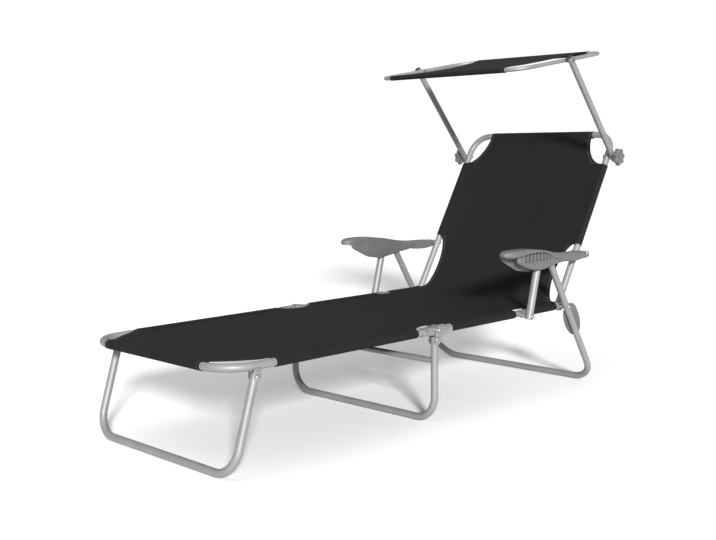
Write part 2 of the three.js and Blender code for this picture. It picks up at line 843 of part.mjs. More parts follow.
// Side outline of the armrest as shares of its length and height, from the tip
const armrestTopShares = [
  [0, 0.88], [0.012, 0.94], [0.04, 0.98], [0.139, 1], [0.234, 0.985], [0.346, 0.92], [0.452, 0.82],
  [0.559, 0.71], [0.67, 0.63], [0.809, 0.595], [0.926, 0.57], [0.973, 0.54], [1, 0.45],
];
const armrestBellyShares = [
  [1, 0.35], [0.976, 0.25], [0.921, 0.214], [0.858, 0.165], [0.783, 0.167], [0.721, 0.195], [0.67, 0.21],
  [0.617, 0.215], [0.564, 0.19], [0.468, 0.11], [0.383, 0.03],
  [0.319, 0], [0.266, 0.04], [0.202, 0.15], [0.128, 0.33], [0.054, 0.56], [0.043, 0.66], [0.014, 0.69],
  [0, 0.76],
];
const armrestSkirtTopShare = 0.65;
const armrestPlateShares = [
  [1, 0.35], [0.976, 0.25], [0.921, 0.214], [0.858, 0.165], [0.783, 0.167], [0.721, 0.195], [0.67, 0.22],
  [0.617, 0.28], [0.559, 0.37], [0.49, 0.49], [0.383, 0.61],
  [0.256, armrestSkirtTopShare], [0.04, armrestSkirtTopShare], [0.014, 0.68], [0, 0.76],
];
const armrestCeilingShares = [
  [-0.02, 0.62], [0.351, 0.57], [0.559, 0.37], [0.638, 0.31], [0.638, -0.2], [-0.02, -0.2],
];

// Plan of the armrest as shares of its length and width, from the inner edge round the tip to the tail
const armrestPlanShares = [
  [armrestNoseShare, 0], [0.02, 0.12], [0.005, 0.3], [0, 0.46], [0.004, 0.58], [0.033, 0.8], [0.063, 0.93],
  [0.128, 1],
  [0.256, 1], [0.362, 0.94], [0.468, 0.8], [0.559, 0.63], [0.638, 0.53], [0.702, 0.52],
];

function armrestPoint([lengthShare, heightShare]) {
  const y = lengthShare * armrestLength - armrestLength + armrestPivotFromTail;
  return [y, heightShare * armrestHeight - armrestPivotHeight];
}

// Moulded armrest: a broad plate over a hollow belly that is open below, with slots in its outer wall.
function armrest() {
  const inner = armrestInnerFace;
  const bellyOuter = inner + armrestBellyWidth;
  const top = armrestTopShares.map(armrestPoint);
  const belly = alongX(
    polygon([...top, ...armrestBellyShares.map(armrestPoint)].reverse()), inner, bellyOuter,
  );
  const plate = alongX(
    polygon([...top, ...armrestPlateShares.map(armrestPoint)].reverse()), inner, inner + armrestWidth,
  );
  const tail = armrestPivotFromTail;
  const planEdge = armrestPlanShares.map(([share, across]) => [
    inner + across * armrestWidth, share * armrestLength - armrestLength + tail,
  ]);
  const plan = alongZ(polygon([
    ...planEdge,
    [inner + armrestTailWidth, tail],
    [inner, tail],
  ]), -armrestHeight, armrestHeight);
  const shell = join(common(plate, plan), common(belly, tailTrim(plan)));
  const cavity = alongX(
    polygon(armrestCeilingShares.map(armrestPoint).reverse()), inner + armrestWall, bellyOuter - armrestWall,
  );
  const tip = -armrestLength + tail;
  const skirtTop = armrestPoint([0, armrestSkirtTopShare])[1];
  const front = box(
    inner + armrestWall, bellyOuter + cutOverrun,
    tip - cutOverrun, tip + armrestSkirtStart,
    -armrestHeight, skirtTop,
  );
  const slots = [];
  for (let slot = 0; slot < armrestSlots; slot += 1) {
    const low = tip + armrestSlotStart + slot * armrestSlotPitch;
    const base = armrestSlotBase - armrestPivotHeight;
    slots.push(box(
      bellyOuter - armrestWall - cutOverrun, bellyOuter + cutOverrun,
      low, low + armrestSlotWidth, base, base + armrestSlotHeight * (1 - slot / (2 * armrestSlots)),
    ));
  }
  return cut(shell, cavity, front, ...slots, pinHole(0, 0));
}

// The belly may reach past the plan's narrow waist, but not past its nose or its own width at the tail.
function tailTrim(plan) {
  const tip = armrestPivotFromTail - armrestLength;
  const middle = box(
    armrestInnerFace, armrestInnerFace + armrestWidth,
    tip + armrestLength * armrestNoseShare, tip + armrestLength * armrestBellyEndShare,
    -armrestHeight, armrestHeight,
  );
  return join(plan, middle);
}

// Canopy arms, modelled along +Y from the clamp
function canopyArms() {
  const group = new THREE.Group();
  const along = new THREE.Vector3(0, 1, 0);
  const topEnd = armLength + armEndBeyondPivot;
  const arm = straightTube(armX, -armEndBeyondPivot, topEnd, along, armRadius);
  const lowPlug = tubePlug(armX, armEndBeyondPivot, along.clone().negate(), armRadius);
  const topPlug = tubePlug(armX, topEnd, along, armRadius);
  const lowHole = pinHole(0, 0);
  const topHole = pinHole(armLength, 0, canopyPinRadius);
  addPair(group, 'canopy_arm', cut(arm, lowHole, topHole), steel);
  addPair(group, 'canopy_arm_low_plug', cut(lowPlug, lowHole), blackPlastic);
  addPair(group, 'canopy_arm_top_plug', cut(topPlug, topHole), blackPlastic);
  return group;
}

// Canopy: a closed frame of thin tube, its fabric and the two pins it tilts on
function canopy() {
  const group = new THREE.Group();
  const half = canopyLength / 2;
  addPiece(group, 'canopy_frame', canopyFrame(half), steel);
  addPiece(group, 'canopy_fabric', canopyFabric(half), fabric);
  addPair(group, 'canopy_pin', canopyPin(), plastic);
  return group;
}

// Two bent halves whose ends meet in the side tubes, joined by the pins' sockets.
function canopyFrame(half) {
  const forward = new THREE.Vector3(0, 1, 0);
  const front = uStations(canopyWidth / 2, 0, half, canopyBendRadius, forward);
  const bent = tube(front, canopyTubeRadius, canopyTubeWall);
  const whole = join(bent, bent.clone().rotateZ(Math.PI));
  return cut(whole, pinHole(0, 0, canopyPinRadius));
}

function canopyFabric(half) {
  const sideCut = arcPoints(
    canopyHemHalf, 0, canopySideCut, half, 1.5 * Math.PI, 0.5 * Math.PI,
  );
  const outline = [[0, -half], ...sideCut, [0, half]];
  return join(
    slingSheet(outline, canopyTubeRadius),
    barSleeve(1, half, canopyHemHalf, canopyTubeRadius),
    barSleeve(-1, half, canopyHemHalf, canopyTubeRadius),
  );
}

function canopyPin() {
  const start = canopyWidth / 2 - canopyTubeRadius - faceGap;
  const bushStart = canopyWidth / 2 + canopyTubeRadius + faceGap;
  const bushEnd = armX - armRadius - faceGap;
  const end = armX + armRadius + faceGap;
  return turnedPin([
    [start - pinHeadThickness, canopyTubeRadius * crownShare],
    [start, canopyTubeRadius],
    [start, canopyPinRadius],
    [bushStart, canopyPinRadius],
    [bushStart, bushRadius],
    [bushEnd, bushRadius],
    [bushEnd, canopyPinRadius],
    [end, canopyPinRadius],
    [end, pinHeadRadius],
    [end + pinHeadThickness, pinHeadRadius * crownShare],
  ]);
}

// Star knob around the end of a clamp bolt.
function starKnob() {
  const start = armX + armRadius + faceGap;
  const faceStart = start + knobBossLength;
  const points = [];
  for (let step = 0; step < knobSteps; step += 1) {
    const angle = (2 * Math.PI * step) / knobSteps;
    const radius = knobRadius + knobLobe * Math.cos(knobLobes * angle);
    points.push([radius * Math.cos(angle), radius * Math.sin(angle)]);
  }
  const star = alongX(polygon(points), faceStart, faceStart + knobThickness);
  const boreEnd = faceStart + knobThickness * knobBoreShare;
  const boss = rodAlongX(knobBossRadius, start, boreEnd);
  const bore = rodAlongX(pinRadius + runningGap, start - cutOverrun, boreEnd + runningGap);
  return cut(join(star, boss), bore);
}

// Puts the sections together in the pose of use
function lounger() {
  const whole = new THREE.Group();
  const rails = new THREE.Group();
  rails.position.z = railHeight;
  whole.add(rails);
  rails.add(seatSection(), footSection());

  const back = backSection();
  back.position.y = seatLength;
  back.rotation.x = backAngle;
  rails.add(back);

  const front = frontLeg();
  front.position.set(0, -footLength + frontLegInset, -legDrop);
  front.rotation.x = -frontLegLean;
  const middle = middleLeg();
  middle.position.set(0, -midLegOffset, -legDrop);
  const rear = rearLeg();
  rear.position.y = seatLength;
  rear.rotation.x = rearLegLean;
  rails.add(front, middle, rear);

  const armCentre = new THREE.Vector3(0, Math.cos(backAngle), Math.sin(backAngle));
  for (const side of sides) {
    const prop = strut(side);
    prop.position.set(0, strutOffset, -strutPivotDrop);
    prop.rotation.x = -strutLean;
    const rest = new THREE.Group();
    addPiece(rest, `armrest_${side.name}`, side.place(armrest()), plastic);
    rest.position.copy(armCentre).multiplyScalar(armrestPivotAlongBack);
    rest.position.y += seatLength;
    const knob = new THREE.Group();
    addPiece(knob, `star_knob_${side.name}`, side.place(starKnob()), plastic);
    knob.position.y = clampAlongBack;
    back.add(knob);
    rails.add(prop, rest);
  }

  const arms = canopyArms();
  arms.position.y = clampAlongBack;
  arms.rotation.x = armAngle - backAngle;
  back.add(arms);
  const shade = canopy();
  shade.position.y = armLength;
  shade.rotation.x = canopyTilt - armAngle;
  arms.add(shade);

  // The origin is on the floor, below the middle of the whole.
  whole.updateMatrixWorld(true);
  const bounds = new THREE.Box3().setFromObject(whole, true);
  const centre = bounds.getCenter(new THREE.Vector3());
  whole.position.set(-centre.x, -centre.y, -bounds.min.z);
  return whole;
}

export default lounger();
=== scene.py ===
"""Sun lounger with canopy: the visible model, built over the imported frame."""

import json
import logging
import math
from dataclasses import dataclass, field
from enum import Enum
from typing import Sequence

import bmesh
import bpy
from mathutils import Matrix, Vector, noise


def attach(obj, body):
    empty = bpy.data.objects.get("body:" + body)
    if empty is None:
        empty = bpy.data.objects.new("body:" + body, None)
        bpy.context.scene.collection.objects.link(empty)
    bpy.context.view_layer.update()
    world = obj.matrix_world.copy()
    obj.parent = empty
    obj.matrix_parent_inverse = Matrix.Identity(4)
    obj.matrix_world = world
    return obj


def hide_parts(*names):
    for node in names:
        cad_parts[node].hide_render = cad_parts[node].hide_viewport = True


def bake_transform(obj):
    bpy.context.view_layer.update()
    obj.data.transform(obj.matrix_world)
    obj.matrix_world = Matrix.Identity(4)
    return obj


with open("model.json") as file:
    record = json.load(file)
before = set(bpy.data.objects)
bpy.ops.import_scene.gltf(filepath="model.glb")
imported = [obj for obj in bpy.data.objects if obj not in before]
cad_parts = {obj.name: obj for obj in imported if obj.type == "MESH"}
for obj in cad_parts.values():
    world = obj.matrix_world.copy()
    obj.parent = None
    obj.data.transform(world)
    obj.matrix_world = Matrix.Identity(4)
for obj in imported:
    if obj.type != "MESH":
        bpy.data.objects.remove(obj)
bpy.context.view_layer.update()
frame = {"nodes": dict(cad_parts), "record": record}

LOG = logging.getLogger("lounger")
SLOTS = {part["node"]: part["material_slot"] for part in frame["record"]["subparts"]}
BODIES = {node: body for body, nodes in frame["record"]["behaviour"]["bodies"].items() for node in nodes}
Point = tuple[float, float, float]
Pair = tuple[float, float]
Ring = list[Vector]
Row = list[bmesh.types.BMVert]
Object = bpy.types.Object
Material = bpy.types.Material


def heading(angle: float) -> Vector:
    """A direction in the side view, by its angle above the way to the head."""
    return Vector((0.0, math.cos(angle), math.sin(angle)))


def aside(x: float) -> Vector:
    """A step to the left."""
    return Vector((x, 0.0, 0.0))


def profile(y: float, z: float) -> Vector:
    """A step in the side view, towards the head and up."""
    return Vector((0.0, y, z))


@dataclass(frozen=True)
class Plan:
    """The lounger's driving sizes, in metres, in the frame's own axes."""

    rail_x: float = 0.280
    rail_z: float = 0.255979
    tube: float = 0.010
    foot_hinge_y: float = -0.083360
    foot_length: float = 0.708
    seat_length: float = 0.566
    back_length: float = 0.604
    back_angle: float = math.radians(59.25)
    foot_bend: float = 0.085
    back_bend: float = 0.062
    leg_bend: float = 0.065
    rear_leg_bend: float = 0.072
    tube_end_to_fold: float = 0.044
    leg_drop: float = 0.025
    front_leg_inset: float = 0.0805
    front_leg_lean: float = math.radians(-17.0)
    middle_leg_offset: float = 0.008
    rear_leg_x: float = 0.3125
    rear_leg_lean: float = math.radians(32.2)
    rear_leg_above: float = 0.164
    strut_offset: float = 0.375
    strut_lean: float = math.radians(14.8)
    strut_length: float = 0.149
    strut_radius: float = 0.011
    clamp_along: float = 0.522
    arm_x: float = 0.3013
    arm_radius: float = 0.0095
    arm_length: float = 0.380
    arm_angle: float = math.radians(130.3)
    canopy_width: float = 0.560
    canopy_length: float = 0.442
    canopy_bend: float = 0.055
    canopy_tube: float = 0.006
    canopy_tilt: float = math.radians(9.3)
    play: float = 0.0003

    @property
    def back_hinge(self) -> Vector:
        """Middle of the back hinge's axis."""
        return profile(self.foot_hinge_y + self.seat_length, self.rail_z)

    @property
    def fold_hinge(self) -> Vector:
        """Middle of the fold hinge's axis."""
        return profile(self.foot_hinge_y, self.rail_z)

    @property
    def back_up(self) -> Vector:
        """Direction from the back hinge to the head."""
        return heading(self.back_angle)

    @property
    def back_face(self) -> Vector:
        """Direction square to the back, on the sitter's side."""
        return heading(self.back_angle + math.pi / 2)

    @property
    def clamp(self) -> Vector:
        """Middle of the axis on which the canopy's arms swing."""
        return self.back_hinge + self.back_up * self.clamp_along

    @property
    def arm_up(self) -> Vector:
        """Direction from the clamps to the canopy."""
        return heading(self.arm_angle)

    @property
    def canopy_centre(self) -> Vector:
        """Middle of the axis on which the canopy tilts."""
        return self.clamp + self.arm_up * self.arm_length


PLAN = Plan()


class Side(Enum):
    """The two sides of the lounger, as the sitter has them."""

    LEFT = 1
    RIGHT = -1

    @property
    def tag(self) -> str:
        """The side's name as the nodes spell it."""
        return self.name.lower()

    def section(self, y: float, outline: Sequence[Pair]) -> Ring:
        """A ring across the lounger at a distance towards the head, drawn on the left and mirrored here."""
        return [Vector((self.value * x, y, z)) for x, z in outline]


class Bench:
    """Blender's modelling tools, used one after another as by hand."""

    @staticmethod
    def clear() -> None:
        """Leaves edit mode and deselects everything."""
        if bpy.context.object and bpy.context.object.mode != "OBJECT":
            bpy.ops.object.mode_set(mode="OBJECT")
        bpy.ops.object.select_all(action="DESELECT")

    @classmethod
    def pick(cls, *pieces: Object) -> None:
        """Selects only the given pieces and makes the first one active.

        Args:
            pieces: The pieces.
        """
        cls.clear()
        for piece in pieces:
            piece.select_set(True)
        bpy.context.view_layer.objects.active = pieces[0]

    @staticmethod
    def open_all() -> None:
        """Opens the active piece in edit mode with all of it selected."""
        bpy.ops.object.mode_set(mode="EDIT")
        bpy.ops.mesh.select_all(action="SELECT")

    @staticmethod
    def close_outward() -> None:
        """Turns the open piece's faces outward and leaves edit mode."""
        bpy.ops.mesh.select_all(action="SELECT")
        bpy.ops.mesh.normals_make_consistent(inside=False)
        bpy.ops.object.mode_set(mode="OBJECT")

    @staticmethod
    def link(name: str, data: bpy.types.ID) -> Object:
        """Puts a mesh, lamp or camera into the scene as an object of its own.

        Args:
            name: The object's name.
            data: What it shows or gives off.

        Returns:
            The object.
        """
        made = bpy.data.objects.new(name, data)
        bpy.context.scene.collection.objects.link(made)
        return made

    @classmethod
    def modify(cls, piece: Object, kind: str, **settings: object) -> Object:
        """Adds a modifier with its settings and applies it.

        Args:
            piece: The piece to change.
            kind: The modifier's type.
            settings: Its settings by name.

        Returns:
            The same piece.
        """
        cls.pick(piece)
        modifier = piece.modifiers.new(kind.lower(), kind)
        for key, value in settings.items():
            setattr(modifier, key, value)
        bpy.ops.object.modifier_apply(modifier=modifier.name)
        return piece

    @classmethod
    def loft(cls, name: str, rings: Sequence[Ring], closed: bool = False) -> Object:
        """Extrudes a filled ring from place to place.

        Args:
            name: The piece's name.
            rings: The rings, all with the same number of points in the same order.
            closed: Whether the last ring joins the first, as on a hoop.

        Returns:
            The closed piece.
        """
        cls.clear()
        fill = "NOTHING" if closed else "NGON"
        bpy.ops.mesh.primitive_circle_add(vertices=len(rings[0]), radius=1.0, fill_type=fill)
        piece = bpy.context.object
        piece.name = piece.data.name = name
        for vertex, place in zip(piece.data.vertices, rings[0]):
            vertex.co = place
        cls.open_all()
        for before, after in zip(rings, rings[1:]):
            if closed:
                bpy.ops.mesh.extrude_edges_move()
            else:
                bpy.ops.mesh.extrude_region_move()
            moves = {cls._key(place): target for place, target in zip(before, after)}
            mesh = bmesh.from_edit_mesh(piece.data)
            for vertex in mesh.verts:
                if vertex.select:
                    vertex.co = moves[cls._key(vertex.co)]
            bmesh.update_edit_mesh(piece.data)
        if closed:
            bpy.ops.mesh.select_all(action="DESELECT")
            bpy.ops.mesh.select_non_manifold()
            bpy.ops.mesh.bridge_edge_loops()
        bpy.ops.mesh.select_all(action="SELECT")
        bpy.ops.mesh.remove_doubles(threshold=1e-6)
        cls.close_outward()
        return piece

    @staticmethod
    def _key(place: Vector) -> tuple[int, int, int]:
        """A point rounded to a hundredth of a millimetre, for matching."""
        return tuple(round(c * 1e5) for c in place)

    @classmethod
    def join(cls, name: str, pieces: Sequence[Object]) -> Object:
        """Joins pieces into the first one and names it.

        Args:
            name: The new name.
            pieces: The pieces to join.

        Returns:
            The joined piece.
        """
        cls.pick(*pieces)
        bpy.ops.object.join()
        pieces[0].name = pieces[0].data.name = name
        return pieces[0]

    @classmethod
    def bevel(cls, piece: Object, width: float, angle: float) -> Object:
        """Rounds the sharp edges of a piece.

        Args:
            piece: The piece to change.
            width: The bevel's width in metres.
            angle: Only edges sharper than this, in degrees, are rounded.

        Returns:
            The same piece.
        """
        limit = math.radians(angle)
        return cls.modify(piece, "BEVEL", width=width, segments=2, limit_method="ANGLE", angle_limit=limit)

    @classmethod
    def smooth(cls, piece: Object, angle: float) -> Object:
        """Shades a piece smooth but for its sharp edges.

        Args:
            piece: The piece to shade.
            angle: Where an edge starts to be sharp, in degrees.

        Returns:
            The same piece.
        """
        cls.pick(piece)
        bpy.ops.object.shade_smooth_by_angle(angle=math.radians(angle))
        cls.clear()
        return piece

    @classmethod
    def halve(cls, piece: Object, place: Vector, away: Vector) -> None:
        """Cuts a piece with a plane, drops one part and closes the other.

        Args:
            piece: The piece to cut.
            place: A point of the plane.
            away: The direction square to the plane, towards the part that is dropped.
        """
        cls.pick(piece)
        cls.open_all()
        bpy.ops.mesh.bisect(plane_co=place, plane_no=away, use_fill=True, clear_outer=True)
        cls.close_outward()

    @classmethod
    def copy_of_node(cls, name: str, node: str) -> Object:
        """Copies a node's solid, merged where its flat faces meet.

        Args:
            name: The copy's name.
            node: The node to copy.

        Returns:
            The copy, on no body yet.
        """
        mesh = frame["nodes"][node].data.copy()
        mesh.materials.clear()
        mesh.name = name
        piece = cls.link(name, mesh)
        cls.pick(piece)
        cls.open_all()
        bpy.ops.mesh.remove_doubles(threshold=2e-5)
        bpy.ops.mesh.dissolve_limited(angle_limit=math.radians(1.0))
        bpy.ops.mesh.select_all(action="DESELECT")
        bpy.ops.object.mode_set(mode="OBJECT")
        return piece


class Outline:
    """Rings and outlines that the pieces are drawn from."""

    @staticmethod
    def arc(centre: Pair, radius: float, start: float, end: float, steps: int) -> list[Pair]:
        """Points on an arc.

        Args:
            centre: The arc's centre.
            radius: Its radius.
            start: The first angle in radians.
            end: The last angle in radians.
            steps: The number of parts.

        Returns:
            The points, the first and the last among them.
        """
        turns = [start + (end - start) * k / steps for k in range(steps + 1)]
        return [(centre[0] + radius * math.cos(turn), centre[1] + radius * math.sin(turn)) for turn in turns]

    @staticmethod
    def rounded_box(half_a: float, half_b: float, radius: float, steps: int) -> list[Pair]:
        """A rectangle with round corners about the origin.

        Args:
            half_a: Half its first side.
            half_b: Half its second side.
            radius: The corners' radius.
            steps: Parts in each corner.

        Returns:
            The points in order.
        """
        corners = []
        for number, (sign_a, sign_b) in enumerate(((1, 1), (-1, 1), (-1, -1), (1, -1))):
            centre = (sign_a * (half_a - radius), sign_b * (half_b - radius))
            start = number * math.pi / 2
            corners += Outline.arc(centre, radius, start, start + math.pi / 2, steps)
        return corners

    @staticmethod
    def round_through(points: Sequence[Pair], steps: int) -> list[Pair]:
        """A closed smooth curve through points.

        Args:
            points: The points in order.
            steps: Parts between each two.

        Returns:
            The curve's points.
        """
        count = len(points)
        curve = []
        for k in range(count):
            corners = [points[(k + shift) % count] for shift in (-1, 0, 1, 2)]
            for part in range(steps):
                t = part / steps
                curve.append(tuple(
                    0.5 * (2 * b + (c - a) * t + (2 * a - 5 * b + 4 * c - d) * t**2
                           + (3 * b - a - 3 * c + d) * t**3)
                    for a, b, c, d in zip(*corners)
                ))
        return curve

    @staticmethod
    def read(table: Sequence[Pair], place: float) -> float:
        """Reads a table of places and values with a smooth curve through them.

        Args:
            table: The places in rising order, with their values.
            place: Where to read.

        Returns:
            The value there.
        """
        if place <= table[0][0]:
            return table[0][1]
        if place >= table[-1][0]:
            return table[-1][1]
        index = next(k for k in range(len(table) - 1) if place <= table[k + 1][0])
        (x0, y0), (x1, y1) = table[index], table[index + 1]
        before = table[max(index - 1, 0)]
        after = table[min(index + 2, len(table) - 1)]
        slope0 = (y1 - before[1]) / (x1 - before[0])
        slope1 = (after[1] - y0) / (after[0] - x0)
        span = x1 - x0
        t = (place - x0) / span
        return (
            (2 * t**3 - 3 * t**2 + 1) * y0
            + (t**3 - 2 * t**2 + t) * span * slope0
            + (3 * t**2 - 2 * t**3) * y1
            + (t**3 - t**2) * span * slope1
        )


@dataclass
class BentTube:
    """A round tube along a line that lies in one plane, with evenly stepped bends."""

    name: str
    stations: list[Vector]
    radius: float
    sides: int = 28
    hoop: bool = False

    def build(self) -> Object:
        """Makes the tube, closed at its ends or joined into a hoop.

        Returns:
            The tube.
        """
        rings = []
        last = len(self.stations) - 1
        side = self._plane_normal()
        for index, place in enumerate(self.stations):
            direction = Vector((0, 0, 0))
            if index > 0 or self.hoop:
                direction += (place - self.stations[index - 1]).normalized()
            if index < last or self.hoop:
                direction += (self.stations[(index + 1) % (last + 1)] - place).normalized()
            across = direction.normalized().cross(side).normalized()
            turns = [2 * math.pi * k / self.sides for k in range(self.sides)]
            rings.append([place + (side * math.cos(t) + across * math.sin(t)) * self.radius for t in turns])
        return Bench.smooth(Bench.loft(self.name, rings, closed=self.hoop), 50.0)

    def _plane_normal(self) -> Vector:
        """The direction square to the line's plane, or any square one if the line is straight.

        Returns:
            The direction, one metre long.
        """
        first = self.stations[1] - self.stations[0]
        for place in self.stations[2:]:
            normal = first.cross(place - self.stations[0])
            if normal.length > 1e-7:
                return normal.normalized()
        return first.cross(Vector((0.31, 0.83, 0.46))).normalized()


def straight_tube(name: str, start: Vector, end: Vector, radius: float, edge: float = 0.0008) -> Object:
    """A straight tube with its ends' edges rounded."""
    piece = BentTube(name, [start, end], radius).build()
    return Bench.smooth(Bench.bevel(piece, edge, 60.0), 50.0)


def u_line(half: float, span: Pair, bend: float, root: Vector, way: Vector) -> list[Vector]:
    """The centre line of a U-shaped tube.

    Args:
        half: Half the distance between the U's sides.
        span: Where the sides begin and where the cross bar lies along the way, from the root.
        bend: The radius of the two bends.
        root: The point midway between the sides where the way is zero.
        way: The direction from the open end to the bar.

    Returns:
        The stations from the left side's end to the right side's end.
    """
    left = [(half, span[0]), *Outline.arc((half - bend, span[1] - bend), bend, 0.0, math.pi / 2, 14)]
    return [root + aside(x) + way * v for x, v in left + [(-x, v) for x, v in reversed(left)]]


class Signal:
    """A shader socket that takes part in Python sums."""

    def __init__(self, maker: "Finish", socket: bpy.types.NodeSocket) -> None:
        """Keeps the socket and the finish whose tree it is in."""
        self.maker = maker
        self.socket = socket

    def math(self, operation: str, *others: object) -> "Signal":
        """Adds one Math node with this signal as its first value."""
        return self.maker.math(operation, self, *others)

    def __add__(self, other: object) -> "Signal":
        """Sum."""
        return self.math("ADD", other)

    def __radd__(self, other: object) -> "Signal":
        """Sum with the socket on the right."""
        return self.maker.math("ADD", other, self)

    def __sub__(self, other: object) -> "Signal":
        """Difference."""
        return self.math("SUBTRACT", other)

    def __rsub__(self, other: object) -> "Signal":
        """Difference with the socket on the right."""
        return self.maker.math("SUBTRACT", other, self)

    def __mul__(self, other: object) -> "Signal":
        """Product."""
        return self.math("MULTIPLY", other)

    def __rmul__(self, other: object) -> "Signal":
        """Product with the socket on the right."""
        return self.maker.math("MULTIPLY", other, self)

    def ramp(self, low: float, high: float, start: float = 0.0, end: float = 1.0) -> "Signal":
        """Maps a span of values to another, held at its ends."""
        values = {"Value": self, "From Min": low, "From Max": high, "To Min": start, "To Max": end}
        return self.maker.node("ShaderNodeMapRange", {"clamp": True}, values)


@dataclass
class Finish:
    """A material and the one method that adds its nodes."""

    name: str
    material: Material = field(init=False)

    def __post_init__(self) -> None:
        """Makes an empty material."""
        self.material = bpy.data.materials.new(self.name)
        self.material.use_nodes = True
        self.material.node_tree.nodes.clear()

    def node(self, kind: str, settings: dict | None, values: dict, output: int | str = 0) -> Signal | None:
        """Adds a node.

        Args:
            kind: The node's type.
            settings: Its own settings, set before its sockets.
            values: Values or signals for its sockets, by name or number.
            output: The socket to give back.

        Returns:
            The node's chosen output, or nothing if it has none.
        """
        made = self.material.node_tree.nodes.new(kind)
        for key, value in (settings or {}).items():
            setattr(made, key, value)
        for key, value in values.items():
            if isinstance(value, Signal):
                self.material.node_tree.links.new(value.socket, made.inputs[key])
            else:
                made.inputs[key].default_value = value
        return Signal(self, made.outputs[output]) if made.outputs else None

    def math(self, operation: str, *values: object) -> Signal:
        """Adds one Math node."""
        return self.node("ShaderNodeMath", {"operation": operation}, dict(enumerate(values)))

    def place(self) -> Signal:
        """The point on the object, in metres."""
        return self.node("ShaderNodeTexCoord", None, {}, "Object")

    def cloth_value(self, name: str) -> Signal:
        """A number that the cloth's points carry."""
        return self.node("ShaderNodeAttribute", {"attribute_name": name}, {}, "Fac")

    def stretch(self, vector: Signal, scale: Point) -> Signal:
        """A vector with each of its numbers scaled."""
        return self.node("ShaderNodeMapping", None, {"Vector": vector, "Scale": scale})

    def grain(
        self, scale: float, detail: float, roughness: float = 0.5, vector: Signal | None = None
    ) -> Signal:
        """Soft noise from 0 to 1 at a scale in parts per metre."""
        values = {"Vector": vector or self.place(), "Scale": scale, "Detail": detail, "Roughness": roughness}
        return self.node("ShaderNodeTexNoise", None, values)

    def blend(self, share: Signal, first: object, second: object) -> Signal:
        """Mixes two colours by a share, through the colour sockets of the Mix node."""
        return self.node("ShaderNodeMix", {"data_type": "RGBA"}, {0: share, 6: first, 7: second}, 2)

    def bump(self, height: Signal, distance: float, strength: float) -> Signal:
        """Turns a height into a bent normal."""
        values = {"Height": height, "Distance": distance, "Strength": strength}
        return self.node("ShaderNodeBump", None, values)

    def surface(self, **values: object) -> Material:
        """Ends the material in one principled shader.

        Args:
            values: Values or signals by socket, with low lines for the spaces in its name.

        Returns:
            The material.
        """
        named = {key.replace("_", " "): value for key, value in values.items()}
        shader = self.node("ShaderNodeBsdfPrincipled", None, named)
        self.node("ShaderNodeOutputMaterial", None, {"Surface": shader})
        return self.material


def tone(value: float, warm: float = 0.0) -> tuple[float, float, float, float]:
    """A grey with a slight warm or cool cast."""
    return (value * (1 + warm), value, value * (1 - warm), 1.0)


@dataclass(frozen=True)
class PaintedSteel:
    """Silver-grey powder coat on tube: fine peel, faint sparkle and a few scuffs."""

    light: float = 0.23
    dark: float = 0.19
    sparkle: float = 0.34
    scuffed: float = 0.12

    def make(self) -> Material:
        """Builds the material.

        Returns:
            The material.
        """
        finish = Finish("silver_powder_coat")
        cloud = finish.grain(14.0, 3.0)
        peel = finish.grain(1400.0, 2.0, 0.6)
        flake = finish.grain(5200.0, 1.0)
        scuff = finish.grain(46.0, 6.0, 0.72).ramp(0.66, 0.78)
        colour = finish.blend(cloud.ramp(0.3, 0.7), tone(self.dark, -0.012), tone(self.light, -0.006))
        colour = finish.blend(flake.ramp(0.62, 0.8, 0.0, 0.3), colour, tone(self.sparkle))
        colour = finish.blend(scuff * 0.4, colour, tone(self.scuffed, 0.01))
        rough = 0.48 + cloud * 0.07 + scuff * 0.18
        return finish.surface(
            Base_Color=colour, Metallic=0.3, Roughness=rough, Normal=finish.bump(peel, 0.00012, 0.5)
        )


@dataclass(frozen=True)
class ZincSteel:
    """Stamped and plated steel: brushed one way, with faint cloudy passivation."""

    light: float = 0.42
    dark: float = 0.26
    brushing: Point = (900.0, 60.0, 900.0)

    def make(self) -> Material:
        """Builds the material.

        Returns:
            The material.
        """
        finish = Finish("zinc_plate")
        spangle = finish.grain(160.0, 4.0, 0.62)
        streak = finish.grain(1.0, 2.0, vector=finish.stretch(finish.place(), self.brushing))
        colour = finish.blend(spangle.ramp(0.32, 0.68), tone(self.dark, 0.01), tone(self.light, 0.004))
        rough = 0.28 + spangle * 0.16 + streak * 0.08
        height = streak * 0.6 + spangle * 0.4
        return finish.surface(
            Base_Color=colour, Metallic=0.85, Roughness=rough, Normal=finish.bump(height, 0.0001, 0.5)
        )


